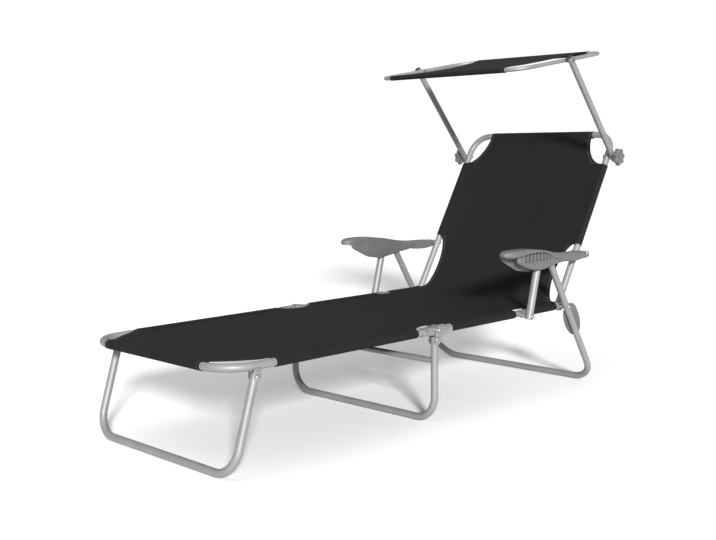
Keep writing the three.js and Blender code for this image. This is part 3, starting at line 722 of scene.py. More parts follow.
@dataclass(frozen=True)
class WovenCloth:
    """Near-black coated cloth in plain weave, with hem stitching by the points' distance to an edge."""

    warp: float = 620.0
    base: float = 0.006
    lift: float = 0.0125
    dust: float = 0.019
    thread: float = 0.05
    slubs: Point = (380.0, 24.0, 1.0)
    seams: Pair = (0.007, 0.0095)
    seam_width: float = 0.0008
    stitches: float = 260.0
    stitch_share: float = 0.7
    hem: Pair = (0.0118, 0.0128)

    def make(self) -> Material:
        """Builds the material.

        Returns:
            The material.
        """
        finish = Finish("black_woven_cloth")
        cloth = finish.node("ShaderNodeUVMap", {"uv_map": "cloth"}, {})
        split = finish.node("ShaderNodeSeparateXYZ", None, {0: cloth}).socket.node.outputs
        column, row = ((Signal(finish, split[k]) * self.warp * math.pi).math("SINE") for k in range(2))
        over = (row * column).ramp(-0.15, 0.15)
        weave = over * row.math("ABSOLUTE") + (1 - over) * column.math("ABSOLUTE")
        slub = finish.grain(1.0, 3.0, vector=finish.stretch(cloth, self.slubs))
        dust = finish.grain(9.0, 5.0, 0.62)
        colour = finish.blend(weave * 0.55 + slub * 0.3, tone(self.base, -0.03), tone(self.lift, -0.03))
        colour = finish.blend(dust.ramp(0.42, 0.75, 0.0, 0.2), colour, tone(self.dust))
        edge = finish.cloth_value("edge_distance")
        apart = ((edge - seam).math("ABSOLUTE") for seam in self.seams)
        first, second = (gap.math("LESS_THAN", self.seam_width) for gap in apart)
        run = finish.cloth_value("edge_run") * self.stitches
        stitch = first.math("MAXIMUM", second) * run.math("FRACT").math("LESS_THAN", self.stitch_share)
        colour = finish.blend(stitch * 0.8, colour, tone(self.thread))
        hem = edge.ramp(*self.hem, 1.0, 0.0)
        height = weave * 0.3 + hem * 1.4 + stitch * 0.5
        rough = 0.82 + weave * 0.1 - slub * 0.06
        return finish.surface(
            Base_Color=colour,
            Roughness=rough,
            Specular_IOR_Level=0.12,
            Normal=finish.bump(height, 0.0004, 0.55),
        )


@dataclass(frozen=True)
class MouldedPlastic:
    """Grained moulded plastic."""

    name: str
    shade: float
    rough: float = 0.5

    def make(self) -> Material:
        """Builds the material.

        Returns:
            The material.
        """
        finish = Finish(self.name)
        values = {"Vector": finish.place(), "Scale": 1500.0}
        grain = finish.node("ShaderNodeTexVoronoi", {"feature": "F1"}, values)
        cloud = finish.grain(22.0, 4.0)
        scuff = finish.grain(70.0, 5.0, 0.7).ramp(0.64, 0.76)
        colour = finish.blend(cloud.ramp(0.3, 0.7), tone(self.shade * 0.9), tone(self.shade * 1.08))
        colour = finish.blend(scuff * 0.25, colour, tone(self.shade * 1.7))
        rough = self.rough + cloud * 0.08 - scuff * 0.06
        return finish.surface(Base_Color=colour, Roughness=rough, Normal=finish.bump(grain, 0.00012, 0.35))


@dataclass(frozen=True)
class StudioFloor:
    """Pale matt floor."""

    shade: float = 0.92

    def make(self) -> Material:
        """Builds the material.

        Returns:
            The material.
        """
        finish = Finish("studio_floor")
        colour = finish.blend(finish.grain(0.8, 2.0), tone(self.shade * 0.995), tone(self.shade))
        return finish.surface(Base_Color=colour, Roughness=0.9, Specular_IOR_Level=0.1)


@dataclass
class Palette:
    """All finishes, each made once, by the record's material slots."""

    slots: dict[str, Material] = field(init=False)

    def __post_init__(self) -> None:
        """Makes every finish."""
        self.slots = {
            "painted_steel": PaintedSteel().make(),
            "zinc_steel": ZincSteel().make(),
            "sling_fabric": WovenCloth().make(),
            "grey_plastic": MouldedPlastic("grey_moulded_plastic", 0.095).make(),
            "black_plastic": MouldedPlastic("black_moulded_plastic", 0.018, 0.42).make(),
        }


@dataclass
class SubAssembly:
    """What every sub-assembly shares: its palette and the way it hands over a piece."""

    palette: Palette
    made: list[str] = field(default_factory=list, init=False)

    def dress(self, piece: Object, slot: str) -> None:
        """Gives a piece the finish of a slot and adds it to the pieces made.

        Args:
            piece: The piece.
            slot: The record's material slot.
        """
        piece.data.materials.clear()
        piece.data.materials.append(self.palette.slots[slot])
        self.made.append(piece.name)

    def hand_over(self, piece: Object, node: str) -> None:
        """Lets a piece stand for a node, with the slot and the body that the record gives the node.

        Args:
            piece: The finished piece.
            node: The node that it replaces.
        """
        self.dress(piece, SLOTS[node])
        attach(piece, BODIES[node])
        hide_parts(node)
        LOG.info("%s on %s, %d faces", piece.name, BODIES[node], len(piece.data.polygons))


@dataclass
class Tubework(SubAssembly):
    """The steel tubes of the frame, the legs and the struts."""

    rail_gap: float = 0.016
    back_overlap: float = 0.011
    leg_overlap: float = 0.007
    brace_drop: float = 0.058
    brace_radius: float = 0.008
    strut_drop: float = 0.006
    strut_overlap: float = 0.009

    def build(self) -> None:
        """Makes every tube."""
        self._rails()
        self._foot_and_back()
        self._legs()
        self._struts()

    def _rails(self) -> None:
        """The two rails of the seat."""
        start = profile(PLAN.foot_hinge_y + PLAN.tube_end_to_fold, PLAN.rail_z)
        end = profile(PLAN.foot_hinge_y + PLAN.seat_length - self.rail_gap, PLAN.rail_z)
        for side in Side:
            x = aside(PLAN.rail_x * side.value)
            piece = straight_tube(f"seat_tube_{side.tag}", x + start, x + end, PLAN.tube)
            self.hand_over(piece, f"seat_rail_{side.tag}")

    def _bent(self, name: str, node: str, *line: object) -> None:
        """Makes a U-shaped tube along the line that these values give and hands it over."""
        self.hand_over(BentTube(name, u_line(*line), PLAN.tube).build(), node)

    def _foot_and_back(self) -> None:
        """The bent frames of the foot section and of the back."""
        foot = (PLAN.rail_x, (PLAN.tube_end_to_fold, PLAN.foot_length), PLAN.foot_bend)
        self._bent("foot_tube", "foot_frame", *foot, PLAN.fold_hinge, profile(-1, 0))
        back = (PLAN.rail_x, (-self.back_overlap, PLAN.back_length), PLAN.back_bend)
        self._bent("back_tube", "back_frame", *back, PLAN.back_hinge, PLAN.back_up)

    def _legs(self) -> None:
        """The three U-shaped legs, which end on the floor, and the brace of the middle one."""
        front = PLAN.fold_hinge + profile(PLAN.front_leg_inset - PLAN.foot_length, -PLAN.leg_drop)
        middle = PLAN.fold_hinge + profile(-PLAN.middle_leg_offset, -PLAN.leg_drop)
        rear = PLAN.back_hinge
        legs = (
            ("front_leg", front, PLAN.front_leg_lean, PLAN.rail_x, self.leg_overlap, PLAN.leg_bend),
            ("middle_leg", middle, 0.0, PLAN.rail_x, self.leg_overlap, PLAN.leg_bend),
            ("rear_leg", rear, PLAN.rear_leg_lean, PLAN.rear_leg_x, PLAN.rear_leg_above, PLAN.rear_leg_bend),
        )
        for leg, pivot, lean, half, above, bend in legs:
            span = (-above, (pivot.z - PLAN.tube) / math.cos(lean))
            self._bent(f"{leg}_tube", leg, half, span, bend, pivot, heading(lean - math.pi / 2))
            if pivot is middle:
                reach = aside(PLAN.rail_x - PLAN.tube - PLAN.play)
                level = middle - profile(0, self.brace_drop)
                brace = straight_tube("middle_brace_tube", level - reach, level + reach, self.brace_radius)
                self.hand_over(brace, "middle_leg_brace")

    def _struts(self) -> None:
        """The struts in front of the armrests."""
        way = heading(math.pi / 2 - PLAN.strut_lean)
        for side in Side:
            root = PLAN.fold_hinge + profile(PLAN.strut_offset, -self.strut_drop)
            root += aside(PLAN.rear_leg_x * side.value)
            start, end = root - way * self.strut_overlap, root + way * PLAN.strut_length
            piece = straight_tube(f"strut_tube_{side.tag}", start, end, PLAN.strut_radius)
            self.hand_over(piece, f"armrest_strut_{side.tag}")


@dataclass
class Hardware(SubAssembly):
    """Brackets, pins, bolts and plugs: the frame's own shapes with their edges broken."""

    bracket_edge: float = 0.0005
    pin_edge: float = 0.0006
    bracket_shown: float = 0.0185

    def build(self) -> None:
        """Dresses every small part."""
        for node in BODIES:
            if "bracket" in node or "socket" in node:
                self._edged(node, self.bracket_edge)
            elif "pin" in node or "bolt" in node or "plug" in node:
                self._edged(node, self.pin_edge)

    def _edged(self, node: str, width: float) -> None:
        """Copies a node, breaks its edges and lets the copy stand for it.

        Args:
            node: The node.
            width: The bevel's width in metres.
        """
        piece = Bench.copy_of_node(f"{node}_shown", node)
        if node.startswith("back_hinge_bracket"):
            Bench.halve(piece, PLAN.back_hinge - profile(self.bracket_shown, 0), profile(-1, 0))
        Bench.smooth(Bench.bevel(piece, width, 40.0), 42.0)
        self.hand_over(piece, node)


class ClothMesh:
    """A cloth in the making: points with their place on the flat cloth, and rows of them joined by faces."""

    def __init__(self) -> None:
        """Starts an empty cloth with its map and its two numbers per point."""
        self.mesh = bmesh.new()
        self.flat = self.mesh.loops.layers.uv.new("cloth")
        self.edge = self.mesh.verts.layers.float.new("edge_distance")
        self.run = self.mesh.verts.layers.float.new("edge_run")
        self.spots: dict[bmesh.types.BMVert, Pair] = {}

    def point(self, place: Vector, spot: Pair, edge: float, run: float) -> bmesh.types.BMVert:
        """Adds a point.

        Args:
            place: Where it is.
            spot: Where it lies on the flat cloth.
            edge: Its distance to the nearest edge or seam.
            run: Its distance along that edge.

        Returns:
            The point.
        """
        vertex = self.mesh.verts.new(place)
        vertex[self.edge] = edge
        vertex[self.run] = run
        self.spots[vertex] = spot
        return vertex

    def strip(self, first: Row, second: Row, mirrored: bool = False) -> None:
        """Joins two rows of points by faces.

        Args:
            first: One row.
            second: The next row.
            mirrored: Whether the faces look the other way.
        """
        for k in range(len(first) - 1):
            corners = [first[k], first[k + 1], second[k + 1], second[k]]
            self.mesh.faces.new(corners[::-1] if mirrored else corners)

    def strips(self, rows: Sequence[Row]) -> None:
        """Joins each row of points to the next."""
        for first, second in zip(rows, rows[1:]):
            self.strip(first, second)

    def sew(self, name: str, thickness: float) -> tuple[Object, float]:
        """Ends the cloth and gives it its thickness.

        Args:
            name: The piece's name.
            thickness: The cloth's thickness.

        Returns:
            The piece and the area of the cloth.
        """
        for face in self.mesh.faces:
            for loop in face.loops:
                loop[self.flat].uv = self.spots[loop.vert]
        area = sum(face.calc_area() for face in self.mesh.faces)
        data = bpy.data.meshes.new(name)
        self.mesh.to_mesh(data)
        self.mesh.free()
        piece = Bench.modify(Bench.link(name, data), "SOLIDIFY", thickness=thickness, offset=0.0)
        return Bench.smooth(piece, 60.0), area

    @staticmethod
    def sleeve_line(radius: float, tail: Sequence[Pair]) -> list[Pair]:
        """The cloth's line round a tube from beside its top to the seam, in steps out and up."""
        return Outline.arc((0.0, 0.0), radius, math.pi / 2, -math.pi * 0.62, 12)[1:] + list(tail)


@dataclass
class ClothPath:
    """The line that the sling's cloth follows from the foot bar to the head bar.

    Stations are metres of cloth: zero above the foot bar, and the seat and the back follow on.
    """

    lift: float = 0.01105
    corner: float = 0.030
    fold: float = PLAN.foot_length
    hinge: float = PLAN.foot_length + PLAN.seat_length
    end: float = PLAN.foot_length + PLAN.seat_length + PLAN.back_length

    def at(self, station: float) -> tuple[Vector, Vector]:
        """The cloth's place on the middle plane and its outward direction.

        Args:
            station: Metres from the foot bar.

        Returns:
            The point and the direction square to the cloth.
        """
        toe = PLAN.fold_hinge + profile(-PLAN.foot_length, self.lift)
        if station <= self.hinge - self.corner:
            return toe + profile(station, 0), profile(0, 1)
        if station >= self.hinge + self.corner:
            along = PLAN.back_up * (station - self.hinge)
            return PLAN.back_hinge + along + PLAN.back_face * self.lift, PLAN.back_face
        first = toe + profile(self.hinge - self.corner, 0)
        last = PLAN.back_hinge + PLAN.back_up * self.corner + PLAN.back_face * self.lift
        middle = PLAN.back_hinge + profile(-self.lift * math.tan(PLAN.back_angle / 2), self.lift)
        t = (station - self.hinge + self.corner) / (2 * self.corner)
        place = first * (1 - t) ** 2 + middle * 2 * t * (1 - t) + last * t**2
        slope = (middle - first) * (1 - t) + (last - middle) * t
        return place, profile(-slope.z, slope.y).normalized()


@dataclass(frozen=True)
class Bite:
    """A rounded cut in the cloth's side."""

    start: float
    end: float
    depth: float
    slack: bool = False

    def moved(self, place: float) -> "Bite":
        """The same cut at another place."""
        return Bite(place + self.start, place + self.end, self.depth, self.slack)

    def reach(self, station: float) -> float:
        """How far the cut goes in: as an ellipse, or as a slack wave with soft ends.

        Args:
            station: Metres along the cloth.

        Returns:
            The cut's depth there.
        """
        half = (self.end - self.start) / 2
        share = (station - self.start - half) / half
        if self.slack:
            return self.depth * math.cos(min(1.0, abs(share)) * math.pi / 2)
        return self.depth * math.sqrt(max(0.0, 1 - share * share))


@dataclass
class Slings(SubAssembly):
    """The one cloth of foot, seat and back, in two sheets that meet in the seat."""

    path: ClothPath = field(default_factory=ClothPath)
    thickness: float = 0.0013
    foot_hem: float = 0.195
    foot_sleeve: float = 0.140
    back_hem: float = 0.203
    back_sleeve: float = 0.490
    cuts: tuple = (Bite(-0.083, 0.054, 0.036, True), Bite(-0.034, 0.034, 0.022), Bite(-0.009, 0.208, 0.045))
    hinge_gap: float = 0.020
    meet: float = 0.990
    sag: float = 0.006
    settle: float = 0.003
    settle_span: float = 0.022
    wave: float = 0.0011
    tension: float = 0.0004
    bunching: float = 0.35
    hem_line: float = 0.007
    hem_far: float = 0.05
    sleeve_far: float = 0.03
    slant: float = 0.3
    seam_inset: float = 0.0205
    sleeve_length: float = 0.058
    fold_reach: float = 0.048
    row_pitch: float = 0.012
    row_gap: float = 0.0022
    head_corner: float = 0.114
    columns: int = 40
    seam: tuple = ((-0.0105, -0.0052), (-0.0150, 0.0030), (-0.0205, 0.0092))
    foot_edge: tuple = (
        (0.0, 0.195), (0.020, 0.203), (0.037, 0.215), (0.061, 0.233), (0.087, 0.2485), (0.117, 0.266),
        (0.140, 0.280),
    )

    def build(self) -> None:
        """Makes both sheets."""
        self._sheet("sling_foot_and_seat", self._rows(0.0, self.meet), True)
        self._sheet("sling_seat_and_back", self._rows(self.meet, self.path.end), False)

    @property
    def bites(self) -> list[Bite]:
        """The cuts at the fold hinge, at the struts and at the back hinge."""
        places = (self.path.fold, self.path.fold + PLAN.strut_offset, self.path.hinge)
        return [cut.moved(place) for cut, place in zip(self.cuts, places)]

    def half_width(self, station: float) -> float:
        """Half the cloth's width on the sitter's side.

        Args:
            station: Metres along the cloth.

        Returns:
            Half the width.
        """
        if station < self.foot_sleeve:
            return Outline.read(self.foot_edge, max(0.0, station))
        top = self.path.hinge + self.back_sleeve
        if station > top:
            share = min(1.0, (self.path.end - station) / (self.path.end - top))
            return PLAN.rail_x - (PLAN.rail_x - self.back_hem) * math.sqrt(max(0.0, 1 - share * share))
        cuts = [bite.reach(station) for bite in self.bites if bite.start < station < bite.end]
        return PLAN.rail_x - sum(cuts)

    @property
    def sleeves(self) -> list[Pair]:
        """The spans in which the cloth goes round the side tubes.

        Returns:
            Start and end of each span.
        """
        fold, strut, low = self.bites
        return [
            (self.foot_sleeve, fold.start),
            (fold.end, strut.start),
            (strut.end, self.path.hinge - self.hinge_gap),
            (low.end, self.path.hinge + self.back_sleeve),
        ]

    def sleeved(self, station: float) -> bool:
        """Whether the cloth goes round the side tubes at a station."""
        return any(low - 1e-6 <= station <= high + 1e-6 for low, high in self.sleeves)

    def _rows(self, low: float, high: float) -> list[float]:
        """Stations of the cloth's rows, close together where its side curves fast.

        Args:
            low: The first station.
            high: The last station.

        Returns:
            The stations in rising order.
        """
        fixed = [low, high, *(end for span in self.sleeves for end in span)]
        marks = [self.path.hinge - self.path.corner + 0.004 * k for k in range(16)]
        marks += [self.foot_sleeve * k / 16 for k in range(16)]
        marks += [self.path.end - self.head_corner * math.sin(k * math.pi / 36) for k in range(19)]
        for bite in self.bites:
            middle = (bite.start + bite.end) / 2
            half = (bite.end - bite.start) / 2
            marks += [middle - half * math.cos(k * math.pi / 26) for k in range(27)]
        count = round((high - low) / self.row_pitch)
        marks += [low + (high - low) * k / count for k in range(count + 1)]
        rows = sorted(mark for mark in fixed if low <= mark <= high)
        for mark in marks:
            if low < mark < high and min(abs(mark - row) for row in rows) > self.row_gap:
                rows.append(mark)
        return sorted(rows)

    def _sleeve(self) -> list[Point]:
        """The sleeve's line round a tube.

        Returns:
            Steps out and up from the tube's middle, each with the length of cloth so far.
        """
        steps = []
        run, before = 0.0, (0.0, self.path.lift)
        for out, up in ClothMesh.sleeve_line(self.path.lift, self.seam):
            run += math.hypot(out - before[0], up - before[1])
            before = (out, up)
            steps.append((out, up, run))
        return steps

    def _spread(self, width: float) -> list[float]:
        """Places across the cloth, closer together near its edges."""
        even = 1 - self.bunching
        spread = []
        for k in range(self.columns + 1):
            share = 2 * k / self.columns - 1
            bunched = math.cos(math.pi * (share + 1) / 2) * self.bunching
            spread.append(width * (share * even - bunched))
        return spread

    def _hang(self, share: float, station: float) -> float:
        """How far the cloth hangs below its straight line.

        Args:
            share: Place across, from -1 to 1.
            station: Place along, in metres.

        Returns:
            The depth in metres.
        """
        path = self.path
        edge = max(0.0, 1 - share * share)
        ends = [(0.0, 0.0), (0.25, 1.0), (path.fold, 0.7), (path.fold + 0.28, 1.0), (path.hinge, 0.0)]
        ends += [(path.hinge + 0.25, 0.9), (path.end - 0.12, 0.5), (path.end, 0.0)]
        depth = self.sag * Outline.read(ends, station) * edge
        wave = noise.noise(Vector((share * 1.3, station * 3.1, 0.4))) * self.wave
        tension = noise.noise(Vector((share * 6.0, station * 9.0, 2.0))) * self.tension
        rail_gap = self._ease((1 - abs(share)) * PLAN.rail_x + PLAN.rail_x - self.half_width(station))
        bar_gap = self._ease(station) * self._ease(path.end - station)
        return max(0.0, depth) + (wave + tension) * edge + self.settle * rail_gap * bar_gap

    def _ease(self, distance: float) -> float:
        """Goes softly from 0 at a tube to 1 a span away from it."""
        share = min(1.0, max(0.0, distance / self.settle_span))
        return share * share * (3 - 2 * share)

    def _sheet(self, name: str, rows: list[float], from_bar: bool) -> None:
        """Builds, sews and dresses one sheet, and hides the slings that it replaces.

        Args:
            name: The sheet's name.
            rows: Its stations.
            from_bar: Whether it starts round the foot bar; the other sheet ends round the head bar.
        """
        cloth = ClothMesh()
        open_rows = [self._field_row(cloth, station) for station in rows]
        if from_bar:
            lines = self._bar_rows(cloth, 0.0, self.foot_hem, -1)[::-1] + open_rows
        else:
            lines = open_rows + self._bar_rows(cloth, self.path.end, self.back_hem, 1)
        cloth.strips(lines)
        self._side_sleeves(cloth, rows, open_rows)
        self._declare(*cloth.sew(name, self.thickness), rows, from_bar)

    def _field_row(self, cloth: ClothMesh, station: float) -> Row:
        """One row of the flat field.

        Args:
            cloth: The cloth in the making.
            station: Metres along the cloth.

        Returns:
            The row, from the right edge to the left.
        """
        place, normal = self.path.at(station)
        width = self.half_width(station)
        row = []
        for x in self._spread(width):
            spot = place + aside(x) - normal * self._hang(x / width, station)
            edge = self._edge_distance(abs(x), station)
            row.append(cloth.point(spot, (x, station), edge, station + abs(x) * self.slant))
        return row

    def _edge_distance(self, x: float, station: float) -> float:
        """Distance to the nearest free edge or sleeve seam.

        Args:
            x: Distance from the middle.
            station: Metres along the cloth.

        Returns:
            The distance in metres.
        """
        if self.sleeved(station):
            seam = PLAN.rail_x - self.seam_inset
            return seam - x + self.hem_line if x < seam else self.sleeve_far
        step = 0.003
        slope = (self.half_width(station + step) - self.half_width(station - step)) / (2 * step)
        return (self.half_width(station) - x) / math.sqrt(1 + slope * slope)

    def _bar_rows(self, cloth: ClothMesh, station: float, hem: float, sign: int) -> list[Row]:
        """Rows that carry the cloth round the foot bar or the head bar.

        Args:
            cloth: The cloth in the making.
            station: The bar's station.
            hem: Half the sleeve's width.
            sign: -1 at the foot bar, 1 at the head bar.

        Returns:
            The rows, from the bar's top on.
        """
        place, normal = self.path.at(station)
        outward = profile(-1, 0) if sign < 0 else PLAN.back_up
        rows = []
        for out, up, run in self._sleeve():
            line = place + outward * out + normal * (up - self.path.lift)
            rows.append([
                cloth.point(line + aside(x), (x, station + sign * run), min(hem - abs(x), self.hem_far), run)
                for x in self._spread(hem)
            ])
        return rows

    def _side_sleeves(self, cloth: ClothMesh, rows: list[float], lines: list[Row]) -> None:
        """Carries the cloth's two sides round the side tubes.

        Args:
            cloth: The cloth in the making.
            rows: The field rows' stations.
            lines: The field rows.
        """
        for side in Side:
            column = -1 if side is Side.LEFT else 0
            wraps = [
                (station, self._wrap(cloth, station, line[column], side))
                for station, line in zip(rows, lines)
                if self.sleeved(station)
            ]
            for (low, first), (high, second) in zip(wraps, wraps[1:]):
                if self.sleeved((low + high) / 2):
                    cloth.strip(first, second, side is Side.RIGHT)

    def _wrap(self, cloth: ClothMesh, station: float, top: bmesh.types.BMVert, side: Side) -> Row:
        """One row of a side sleeve, from the tube's top round to the seam.

        Args:
            cloth: The cloth in the making.
            station: Metres along the cloth.
            top: The field row's outermost point.
            side: The tube's side.

        Returns:
            The row, with that point first.
        """
        place, normal = self.path.at(station)
        row = [top]
        for out, up, run in self._sleeve():
            spot = place + aside((PLAN.rail_x + out) * side.value) + normal * (up - self.path.lift)
            flat = ((PLAN.rail_x + run) * side.value, station)
            row.append(cloth.point(spot, flat, self.sleeve_far, station))
        return row

    def _declare(self, piece: Object, area: float, rows: list[float], from_bar: bool) -> None:
        """Gives the sheet its finish, fixes its place and hides the frame's slings that it replaces.

        Args:
            piece: The sheet.
            area: The area of its cloth.
            rows: Its stations.
            from_bar: Whether it starts round the foot bar.
        """
        self.dress(piece, "sling_fabric")
        length = rows[-1] - rows[0] + self.sleeve_length
        if from_bar:
            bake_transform(piece)
            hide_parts("foot_sling")
        else:
            start = self.path.at(self.path.hinge - self.path.corner)[0]
            end = self.path.at(self.path.hinge + self.path.corner)[0]
            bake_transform(piece)
            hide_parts("seat_sling", "back_sling")
        LOG.info("%s: cloth area %.3f m2", piece.name, area)


@dataclass
class Armrests(SubAssembly):
    """Two moulded armrests: a broad rounded top over a hollow belly with slots in its outer wall."""

    inner: float = 0.2970
    wall: float = 0.0030
    outer_wall: float = 0.3270
    droop: float = 0.0030
    sections: int = 44
    rib_count: int = 9
    rib_pitch: float = 0.0175
    rib_width: float = 0.0105
    rib_first: float = 0.2316
    rib_face: float = 0.3335
    slot_base: float = 0.4122
    lap: float = 0.001
    skirt_gap: float = 0.0002
    rib_edge: float = 0.0008
    trough_edge: float = 0.0007
    step: float = 0.0004
    top_round: float = 0.72
    curl: Pair = (0.0075, 0.0110)
    curl_share: Pair = (0.7, 0.8)
    rim: Pair = (0.0008, 0.0012)
    tooth_count: int = 6
    tooth_pitch: float = 0.0200
    tooth_first: float = 0.2560
    tooth: tuple = ((-0.004, 0.001), (0.004, 0.001), (0.0015, -0.003), (-0.0005, -0.003))
    nose_steps: tuple = (0.0, 0.0005, 0.0014, 0.0029, 0.0050, 0.0079, 0.0110, 0.0150, 0.0200)
    bulge_steps: tuple = (0.0, 0.0008, 0.0020, 0.0045, 0.0090, 0.0160)

    # Heights above the floor, then distances from the middle plane, by the distance towards the head.
    top: tuple = (
        (0.1521, 0.4405), (0.1545, 0.4435), (0.1600, 0.4466), (0.1680, 0.4490), (0.1800, 0.4504),
        (0.2086, 0.4514), (0.2536, 0.4512), (0.3086, 0.4460), (0.3536, 0.4390), (0.3986, 0.4310),
        (0.4486, 0.4250), (0.4986, 0.4240), (0.5306, 0.4230), (0.5600, 0.4210), (0.5790, 0.4193),
        (0.5900, 0.4150), (0.5966, 0.4100),
    )
    under: tuple = (
        (0.1521, 0.4350), (0.1560, 0.4318), (0.1640, 0.4298), (0.1800, 0.4287), (0.2033, 0.4305),
        (0.2364, 0.4352), (0.2604, 0.4374), (0.2994, 0.4372), (0.3292, 0.4348), (0.3595, 0.4272),
        (0.3801, 0.4187), (0.3936, 0.4128), (0.4100, 0.4080), (0.4340, 0.4045), (0.4480, 0.3995),
        (0.4706, 0.3960), (0.4976, 0.3940), (0.5306, 0.3935), (0.5586, 0.3970), (0.5826, 0.3990),
        (0.5930, 0.4025), (0.5966, 0.4060),
    )
    ceiling: tuple = (
        (0.1720, 0.4285), (0.2600, 0.4345), (0.3200, 0.4330), (0.3595, 0.4240), (0.3986, 0.4100),
        (0.4340, 0.4045), (0.4480, 0.4000),
    )
    skirt: tuple = (
        (0.1720, 0.4275), (0.1746, 0.4210), (0.2086, 0.4040), (0.2456, 0.3876), (0.2786, 0.3816),
        (0.3026, 0.3780), (0.3216, 0.3792), (0.3606, 0.3850), (0.4006, 0.3915), (0.4300, 0.3948),
        (0.4480, 0.3962),
    )
    belly: tuple = (
        (0.2120, 0.4200), (0.2145, 0.4115), (0.2250, 0.4060), (0.2441, 0.3982), (0.2683, 0.3910),
        (0.2929, 0.3862), (0.3104, 0.3845), (0.3266, 0.3838), (0.3566, 0.3868), (0.3826, 0.3905),
        (0.4076, 0.3948), (0.4300, 0.3960), (0.4480, 0.3964),
    )
    outer: tuple = (
        (0.1521, 0.3240), (0.1530, 0.3262), (0.1560, 0.3295), (0.1610, 0.3335), (0.1665, 0.3370),
        (0.1800, 0.3435), (0.2086, 0.3470), (0.2650, 0.3470), (0.3120, 0.3440), (0.3590, 0.3370),
        (0.3986, 0.3285), (0.4340, 0.3235), (0.4700, 0.3220), (0.5860, 0.3220), (0.5966, 0.3180),
    )
    inside: tuple = (
        (0.1521, 0.3190), (0.1530, 0.3145), (0.1550, 0.3105), (0.1600, 0.3038), (0.1660, 0.2997),
        (0.1738, 0.2972), (0.1850, 0.2970), (0.5966, 0.2970),
    )
    wall_plan: tuple = (
        (0.1720, 0.3100), (0.1900, 0.3175), (0.2196, 0.3255), (0.3700, 0.3255), (0.3986, 0.3230),
        (0.5226, 0.3210),
    )
    bulge_plan: tuple = (
        (0.2120, 0.3262), (0.2135, 0.3290), (0.2165, 0.3322), (0.2250, 0.3348), (0.2600, 0.3360),
        (0.3400, 0.3350), (0.3900, 0.3290), (0.4300, 0.3245), (0.4480, 0.3235),
    )

    def build(self) -> None:
        """Makes both armrests."""
        for side in Side:
            parts = [self._top(side), self._trough(side), self._bulge(side)]
            parts += self._ribs(side) + self._teeth(side)
            piece = Bench.smooth(Bench.join(f"armrest_shell_{side.tag}", parts), 40.0)
            self.hand_over(piece, f"armrest_{side.tag}")

    def _top(self, side: Side) -> Object:
        """The broad rounded top, lofted from tip to tail.

        Args:
            side: The armrest's side.

        Returns:
            The piece.
        """
        rows = [self.top[0][0] + step for step in self.nose_steps]
        start, high = rows[-1], self.top[-1][0]
        for k in range(1, self.sections + 1):
            part = k / self.sections
            rows.append(start + (high - start) * (0.5 * part + 0.5 * math.sin(math.pi / 2 * part)))
        rings = [side.section(y, self._top_outline(y)) for y in rows]
        return Bench.smooth(Bench.loft("armrest_top", rings), 50.0)

    def _top_outline(self, y: float) -> list[Pair]:
        """The top's section: round above, square at its lower inner corner, and lower towards its edges.

        Args:
            y: Distance towards the head.

        Returns:
            The section's outline.
        """
        x0, x1, z0, z1 = (Outline.read(table, y) for table in (self.inside, self.outer, self.under, self.top))
        half_x, half_z = (x1 - x0) / 2, (z1 - z0) / 2
        outline = []
        for a, b in Outline.rounded_box(half_x, half_z, min(half_x, half_z) * self.top_round, 5):
            if a < 0 and b < 0:
                a, b = -half_x, max(b, -half_z)
            droop = self.droop * (a / half_x) ** 2 if b > 0 else 0.0
            outline.append((x0 + half_x + a, z0 + half_z + b - min(droop, half_z * 0.3)))
        return outline

    def _trough(self, side: Side) -> Object:
        """Ceiling and inner skirt of the hollow belly, which is open underneath and at its front.

        Args:
            side: The armrest's side.

        Returns:
            The piece.
        """
        x0 = self.inner + self.skirt_gap
        x1 = x0 + self.wall
        low, high = self.skirt[0][0], self.belly[-1][0]
        rings = []
        for k in range(self.sections + 1):
            y = low + (high - low) * k / self.sections
            x2 = Outline.read(self.wall_plan, y)
            roof = Outline.read(self.under, y) + self.wall
            ceiling = min(Outline.read(self.ceiling, y), roof - self.wall)
            skirt = Outline.read(self.skirt, y)
            flat = [(x0, skirt), (x0, roof), (x2, roof), (x2, ceiling), (x1, ceiling), (x1, skirt)]
            rings.append(side.section(y, flat))
        return Bench.bevel(Bench.loft("armrest_trough", rings), self.trough_edge, 50.0)

    def _bulge(self, side: Side) -> Object:
        """The rounded face of the outer wall: full height at its front, and below the slots behind it.

        Args:
            side: The armrest's side.

        Returns:
            The piece.
        """
        last = self.rib_first + self.rib_pitch * (self.rib_count - 1)
        front = self.rib_first + self.rib_width / 2
        high = self.bulge_plan[-1][0]
        rows = [self.bulge_plan[0][0] + step for step in self.bulge_steps]
        rows += [front - self.step, front + self.step]
        rows += [front + (last - front) * k / 24 for k in range(1, 24)]
        rows += [last - self.step, last + self.step]
        rows += [last + (high - last) * k / 10 for k in range(1, 11)]
        rings = []
        for y in rows:
            top = self.slot_base if front < y < last else Outline.read(self.under, y) + self.lap
            rings.append(side.section(y, self._bulge_outline(y, top)))
        return Bench.loft("armrest_bulge", rings)

    def _bulge_outline(self, y: float, top: float) -> list[Pair]:
        """The bulge's section, rounded at its lower outer edge.

        Args:
            y: Distance towards the head.
            top: Height of its upper edge.

        Returns:
            The section's outline.
        """
        x1 = Outline.read(self.bulge_plan, y)
        x0 = min(self.outer_wall, x1) - self.wall
        low = Outline.read(self.belly, y)
        curl = min(self.curl[0], (x1 - x0) * self.curl_share[0])
        drop = min(self.curl[1], (top - low) * self.curl_share[1])
        outline = [(x0, low), (x0, top), (x1 - self.rim[0], top), (x1, top - self.rim[1])]
        turns = [math.pi / 12 * k for k in range(7)]
        return outline + [(x1 - curl * (1 - math.cos(t)), low + drop * (1 - math.sin(t))) for t in turns]

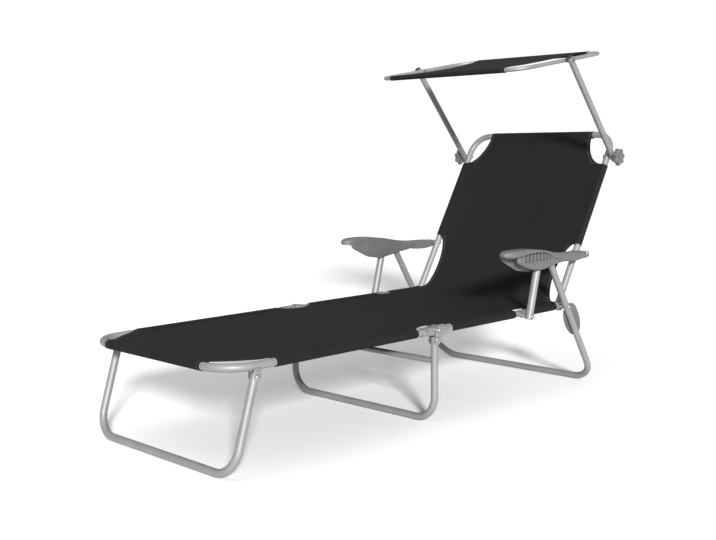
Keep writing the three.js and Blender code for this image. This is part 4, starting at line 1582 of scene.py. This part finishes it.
    def _ribs(self, side: Side) -> list[Object]:
        """The broad uprights between the slots, from the bulge's top to the armrest's top.

        Args:
            side: The armrest's side.

        Returns:
            The pieces.
        """
        back = self.outer_wall - self.lap
        ribs = []
        for k in range(self.rib_count):
            low = self.rib_first + self.rib_pitch * k
            rings = []
            for y in (low, low + self.rib_width):
                roof = Outline.read(self.under, y) + self.lap
                face = min(self.rib_face, Outline.read(self.bulge_plan, y) - self.step)
                foot = min(self.slot_base, roof - 2 * self.lap) - self.lap
                rings.append(side.section(y, [(back, roof), (face, roof), (face, foot), (back, foot)]))
            ribs.append(Bench.bevel(Bench.loft("armrest_rib", rings), self.rib_edge, 40.0))
        return ribs

    def _teeth(self, side: Side) -> list[Object]:
        """The row of stops in the belly's ceiling that the leg's end moves along.

        Args:
            side: The armrest's side.

        Returns:
            The pieces.
        """
        teeth = []
        for k in range(self.tooth_count):
            y = self.tooth_first + self.tooth_pitch * k
            root = profile(y, Outline.read(self.under, y))
            ends = [aside(side.value * x) for x in (self.inner + self.wall, self.outer_wall - self.wall / 2)]
            rings = [[root + end + profile(*corner) for corner in self.tooth] for end in ends]
            teeth.append(Bench.loft("armrest_tooth", rings))
        return teeth


@dataclass
class LegGuards(SubAssembly):
    """Leaf-shaped plates that cover the gap between the rear leg and the rail."""

    length: float = 0.112
    half: float = 0.0365
    start: float = 0.009
    shift: float = 0.018
    leaf: tuple = ((0.005, 0.965), (0.0042, 1.0), (0.0006, 1.0), (0.0, 0.985))
    bead: tuple = ((0.0045, 0.94), (0.0066, 0.93), (0.0066, 0.87), (0.0045, 0.86))
    shares: tuple = (
        (0.22, 0.015), (0.6, 0.08), (0.85, 0.17), (0.96, 0.27), (1.0, 0.43), (1.0, 0.55), (0.87, 0.76),
        (0.66, 0.885), (0.45, 0.967), (0.16, 1.0), (-0.14, 0.987), (-0.52, 0.906), (-0.84, 0.752),
        (-1.0, 0.51), (-0.956, 0.297), (-0.786, 0.145), (-0.55, 0.045), (-0.16, 0.0),
    )

    def build(self) -> None:
        """Makes both guards from depths and scales of the leaf's outline."""
        for side in Side:
            leaf = Bench.loft("guard_leaf", [self._outline(side, *ring) for ring in self.leaf])
            bead = Bench.loft("guard_bead", [self._outline(side, *ring) for ring in self.bead], closed=True)
            piece = Bench.smooth(Bench.join(f"guard_leaf_{side.tag}", [leaf, bead]), 40.0)
            self.hand_over(piece, f"leg_guard_{side.tag}")

    def _outline(self, side: Side, depth: float, scale: float) -> Ring:
        """The leaf's outline.

        Args:
            side: The guard's side.
            depth: Distance from the leg's inner side.
            scale: Its size against the whole leaf.

        Returns:
            The ring.
        """
        way = heading(PLAN.rear_leg_lean - math.pi / 2)
        across = heading(PLAN.rear_leg_lean)
        root = PLAN.back_hinge + aside(side.value * (PLAN.rear_leg_x - PLAN.tube - PLAN.play - depth))
        ring = []
        for wide, down in Outline.round_through(self.shares, 4):
            low = self.start + self.length * (0.5 + (down - 0.5) * scale)
            ring.append(root + way * low + across * (self.shift + self.half * wide * scale))
        return ring


@dataclass
class StarKnobs(SubAssembly):
    """The two seven-lobed knobs that clamp the canopy's arms."""

    radius: float = 0.0245
    lobe: float = 0.0032
    lobes: int = 7
    steps: int = 98
    boss_length: float = 0.003
    # Rings by distance from the knob's inner face, scale and depth of the lobes, 0 for a plain circle.
    parts: tuple = (
        ("knob_star", (
            (0.0, 0.9, 1.0), (0.0015, 0.98, 1.0), (0.0035, 1.0, 1.0), (0.01, 1.0, 1.0), (0.0127, 0.965, 1.0),
            (0.0140, 0.88, 1.0), (0.0138, 0.62, 1.0), (0.0122, 0.50, 0.2), (0.0122, 0.2, 0.0),
        )),
        ("knob_boss", ((-0.003, 0.40, 0.0), (-0.0024, 0.41, 0.0), (0.003, 0.41, 0.0))),
        ("knob_hub", ((0.0112, 0.26, 0.0), (0.0134, 0.255, 0.0), (0.0138, 0.20, 0.0))),
    )

    def build(self) -> None:
        """Makes both knobs."""
        for side in Side:
            pieces = [
                Bench.loft(name, [self._star(side, *ring) for ring in rings]) for name, rings in self.parts
            ]
            piece = Bench.smooth(Bench.join(f"knob_{side.tag}_shown", pieces), 36.0)
            self.hand_over(piece, f"star_knob_{side.tag}")

    def _star(self, side: Side, step: float, scale: float, depth: float) -> Ring:
        """One lobed ring of the knob.

        Args:
            side: The knob's side.
            step: Distance from the knob's inner face.
            scale: Size of the ring.
            depth: Depth of the lobes, 0 for a plain circle.

        Returns:
            The ring's points.
        """
        face = PLAN.arm_x + PLAN.arm_radius + PLAN.play + self.boss_length
        centre = PLAN.clamp + aside((face + step) * side.value)
        ring = []
        for k in range(self.steps):
            angle = 2 * math.pi * k / self.steps
            wave = math.cos(self.lobes * angle)
            wave = wave if wave > 0 else -((-wave) ** 1.4)
            radius = (self.radius + self.lobe * wave * depth) * scale
            way = PLAN.back_up * math.cos(angle) + PLAN.back_face * math.sin(angle)
            ring.append(centre + way * radius)
        return ring


@dataclass
class Canopy(SubAssembly):
    """The tilting canopy with its arms."""

    hem: float = 0.224
    side_cut: float = 0.045
    thickness: float = 0.0012
    arm_overlap: float = 0.009
    arm_edge: float = 0.0007
    cloth_gap: float = 0.00105
    sag: float = 0.006
    wave: float = 0.0006
    hem_step: float = 0.004
    hem_run: float = 0.05
    hem_flat: float = 0.045
    hem_far: float = 0.05
    columns: int = 36
    field_rows: int = 44
    seam: tuple = ((-0.0075, -0.0035), (-0.0115, 0.0012), (-0.0160, 0.0052))

    def build(self) -> None:
        """Makes arms, hoop and cloth."""
        self._arms()
        self._hoop()
        self._cloth()

    def _place(self, x: float, y: float, z: float = 0.0) -> Vector:
        """A point by its distances from the canopy's middle: left, towards the head and upward."""
        forward, up = heading(PLAN.canopy_tilt), heading(PLAN.canopy_tilt + math.pi / 2)
        return PLAN.canopy_centre + aside(x) + forward * y + up * z

    def _arms(self) -> None:
        """The two straight arms."""
        for side in Side:
            root = PLAN.clamp + aside(PLAN.arm_x * side.value)
            start = root - PLAN.arm_up * self.arm_overlap
            end = root + PLAN.arm_up * (PLAN.arm_length + self.arm_overlap)
            piece = straight_tube(f"arm_tube_{side.tag}", start, end, PLAN.arm_radius, self.arm_edge)
            self.hand_over(piece, f"canopy_arm_{side.tag}")

    def _hoop(self) -> None:
        """The closed frame of thin tube."""
        flat = Outline.rounded_box(PLAN.canopy_width / 2, PLAN.canopy_length / 2, PLAN.canopy_bend, 10)
        stations = [self._place(x, y) for x, y in flat]
        self.hand_over(BentTube("canopy_hoop", stations, PLAN.canopy_tube, 20, True).build(), "canopy_frame")

    def _cloth(self) -> None:
        """The cloth between the front and the rear bar, sewn round both."""
        half = PLAN.canopy_length / 2
        lift = PLAN.canopy_tube + self.cloth_gap
        wrap = ClothMesh.sleeve_line(lift, self.seam)
        cloth = ClothMesh()
        lines = []
        for k, (out, up) in enumerate(reversed(wrap)):
            lines.append(self._line(cloth, -half - out, up, k * self.hem_step - half - self.hem_run))
        for k in range(self.field_rows + 1):
            y = -half * math.cos(math.pi * k / self.field_rows)
            lines.append(self._line(cloth, y, lift, y, True))
        for k, (out, up) in enumerate(wrap):
            lines.append(self._line(cloth, half + out, up, half + (k + 1) * self.hem_step))
        cloth.strips(lines)
        piece, area = cloth.sew("canopy_cloth", self.thickness)
        self.hand_over(piece, "canopy_fabric")
        flat = (2 * self.hem, 2 * (half + self.hem_flat))
        area = min(area, flat[0] * flat[1])

    def _line(self, cloth: ClothMesh, y: float, z: float, station: float, between: bool = False) -> Row:
        """Adds one row of points across the canopy.

        Args:
            cloth: The cloth in the making.
            y: Distance from the canopy's middle towards the head.
            z: Height above the hoop's plane.
            station: Place along the flat cloth.
            between: Whether the row hangs hollowed between the bars, or else is in a sleeve.

        Returns:
            The row, from the right edge to the left.
        """
        share = 2 * y / PLAN.canopy_length
        width = self.hem - self.side_cut * math.sqrt(max(0.0, 1 - share * share)) * between
        row = []
        for k in range(self.columns + 1):
            part = 2 * k / self.columns - 1
            x = part * width
            spot = self._place(x, y, z - self._sag(part, y) * between)
            row.append(cloth.point(spot, (x, station), min(width - abs(x), self.hem_far), station))
        return row

    def _sag(self, share: float, y: float) -> float:
        """How far the cloth hangs between the bars.

        Args:
            share: Place across, from -1 to 1.
            y: Distance from the middle.

        Returns:
            The depth in metres.
        """
        edge = max(0.0, 1 - (y / (PLAN.canopy_length / 2)) ** 2)
        wave = noise.noise(Vector((share * 3, y * 12, 1.7))) * self.wave
        return edge * (self.sag * (0.55 + 0.45 * share * share) + wave)


@dataclass(frozen=True)
class Studio:
    """Camera, floor and soft lights."""

    position: Point = (2.06779, -2.16976, 0.74193)
    yaw: float = math.radians(44.94)
    pitch: float = math.radians(6.73)
    roll: float = math.radians(-0.51)
    lens: float = 52.27
    sensor: float = 36.0
    far: float = 100.0
    key_from: Point = (2.2, -1.65, 1.0)
    key_strength: float = 6.2
    key_softness: float = math.radians(8.0)
    fill_from: Point = (-0.4, -1.2, 3.4)
    fill_to: Point = (0.0, 0.1, 0.4)
    fill_size: float = 2.4
    fill_power: float = 22.0
    surround: float = 0.5
    backdrop: float = 1.05
    floor_radius: float = 40.0
    floor_z: float = -0.0004

    def build(self) -> None:
        """Sets the whole studio up."""
        self._camera()
        self._floor()
        aim = -Vector(self.key_from)
        self._lamp("key", "SUN", Vector(), aim, energy=self.key_strength, angle=self.key_softness)
        place = Vector(self.fill_from)
        aim = Vector(self.fill_to) - place
        self._lamp("fill", "AREA", place, aim, energy=self.fill_power, size=self.fill_size)
        self._world()

    def _camera(self) -> None:
        """The camera, where the photograph was taken from."""
        data = bpy.data.cameras.new("photo_camera")
        data.lens = self.lens
        data.sensor_width = self.sensor
        data.sensor_fit = "HORIZONTAL"
        data.clip_end = self.far
        camera = Bench.link("photo_camera", data)
        level = Vector((math.cos(self.yaw), math.sin(self.yaw), 0))
        flat = Vector((-math.sin(self.yaw), math.cos(self.yaw), 0))
        ahead = flat * math.cos(self.pitch) - profile(0, math.sin(self.pitch))
        above = level.cross(ahead)
        right = level * math.cos(self.roll) + above * math.sin(self.roll)
        up = above * math.cos(self.roll) - level * math.sin(self.roll)
        turn = Matrix((right, up, -ahead)).transposed().to_4x4()
        camera.matrix_world = Matrix.Translation(self.position) @ turn
        bpy.context.scene.camera = camera

    def _floor(self) -> None:
        """A pale floor, wide enough to reach the horizon."""
        Bench.clear()
        bpy.ops.mesh.primitive_circle_add(
            vertices=96, radius=self.floor_radius, fill_type="NGON", location=(0, 0, self.floor_z)
        )
        floor = bpy.context.object
        floor.name = "studio_floor"
        floor.data.materials.append(StudioFloor().make())

    @staticmethod
    def _lamp(name: str, kind: str, place: Vector, aim: Vector, **settings: float) -> None:
        """Adds one light.

        Args:
            name: The light's name.
            kind: SUN for the key behind the camera, AREA for the soft fill from above.
            place: Where it stands.
            aim: The direction that it shines in.
            settings: Its power and its softness or size.
        """
        data = bpy.data.lights.new(name, kind)
        for key, value in settings.items():
            setattr(data, key, value)
        lamp = Bench.link(name, data)
        lamp.location = place
        lamp.rotation_euler = aim.to_track_quat("-Z", "Y").to_euler()

    def _world(self) -> None:
        """An even surround that the camera sees as plain white."""
        world = bpy.data.worlds.new("white_surround")
        world.use_nodes = True
        tree = world.node_tree
        background = tree.nodes["Background"]
        background.inputs["Color"].default_value = (1, 1, 1, 1)
        seen = tree.nodes.new("ShaderNodeLightPath")
        level = tree.nodes.new("ShaderNodeMapRange")
        level.inputs["To Min"].default_value = self.surround
        level.inputs["To Max"].default_value = self.backdrop
        tree.links.new(seen.outputs["Is Camera Ray"], level.inputs["Value"])
        tree.links.new(level.outputs["Result"], background.inputs["Strength"])
        bpy.context.scene.world = world
        bpy.context.scene.view_settings.view_transform = "Standard"


def write_sizes() -> None:
    """Updates the view layer, so that every piece's place is current.
    """
    bpy.context.view_layer.update()


def main() -> None:
    """Builds the studio and every sub-assembly, in order."""
    logging.basicConfig(level=logging.INFO, format="%(name)s: %(message)s")
    Studio().build()
    palette = Palette()
    for kind in (Tubework, Hardware, Slings, Armrests, LegGuards, StarKnobs, Canopy):
        assembly = kind(palette)
        assembly.build()
        LOG.info("%s: %d pieces", kind.__name__, len(assembly.made))
    write_sizes()


if __name__ == "__main__":
    main()
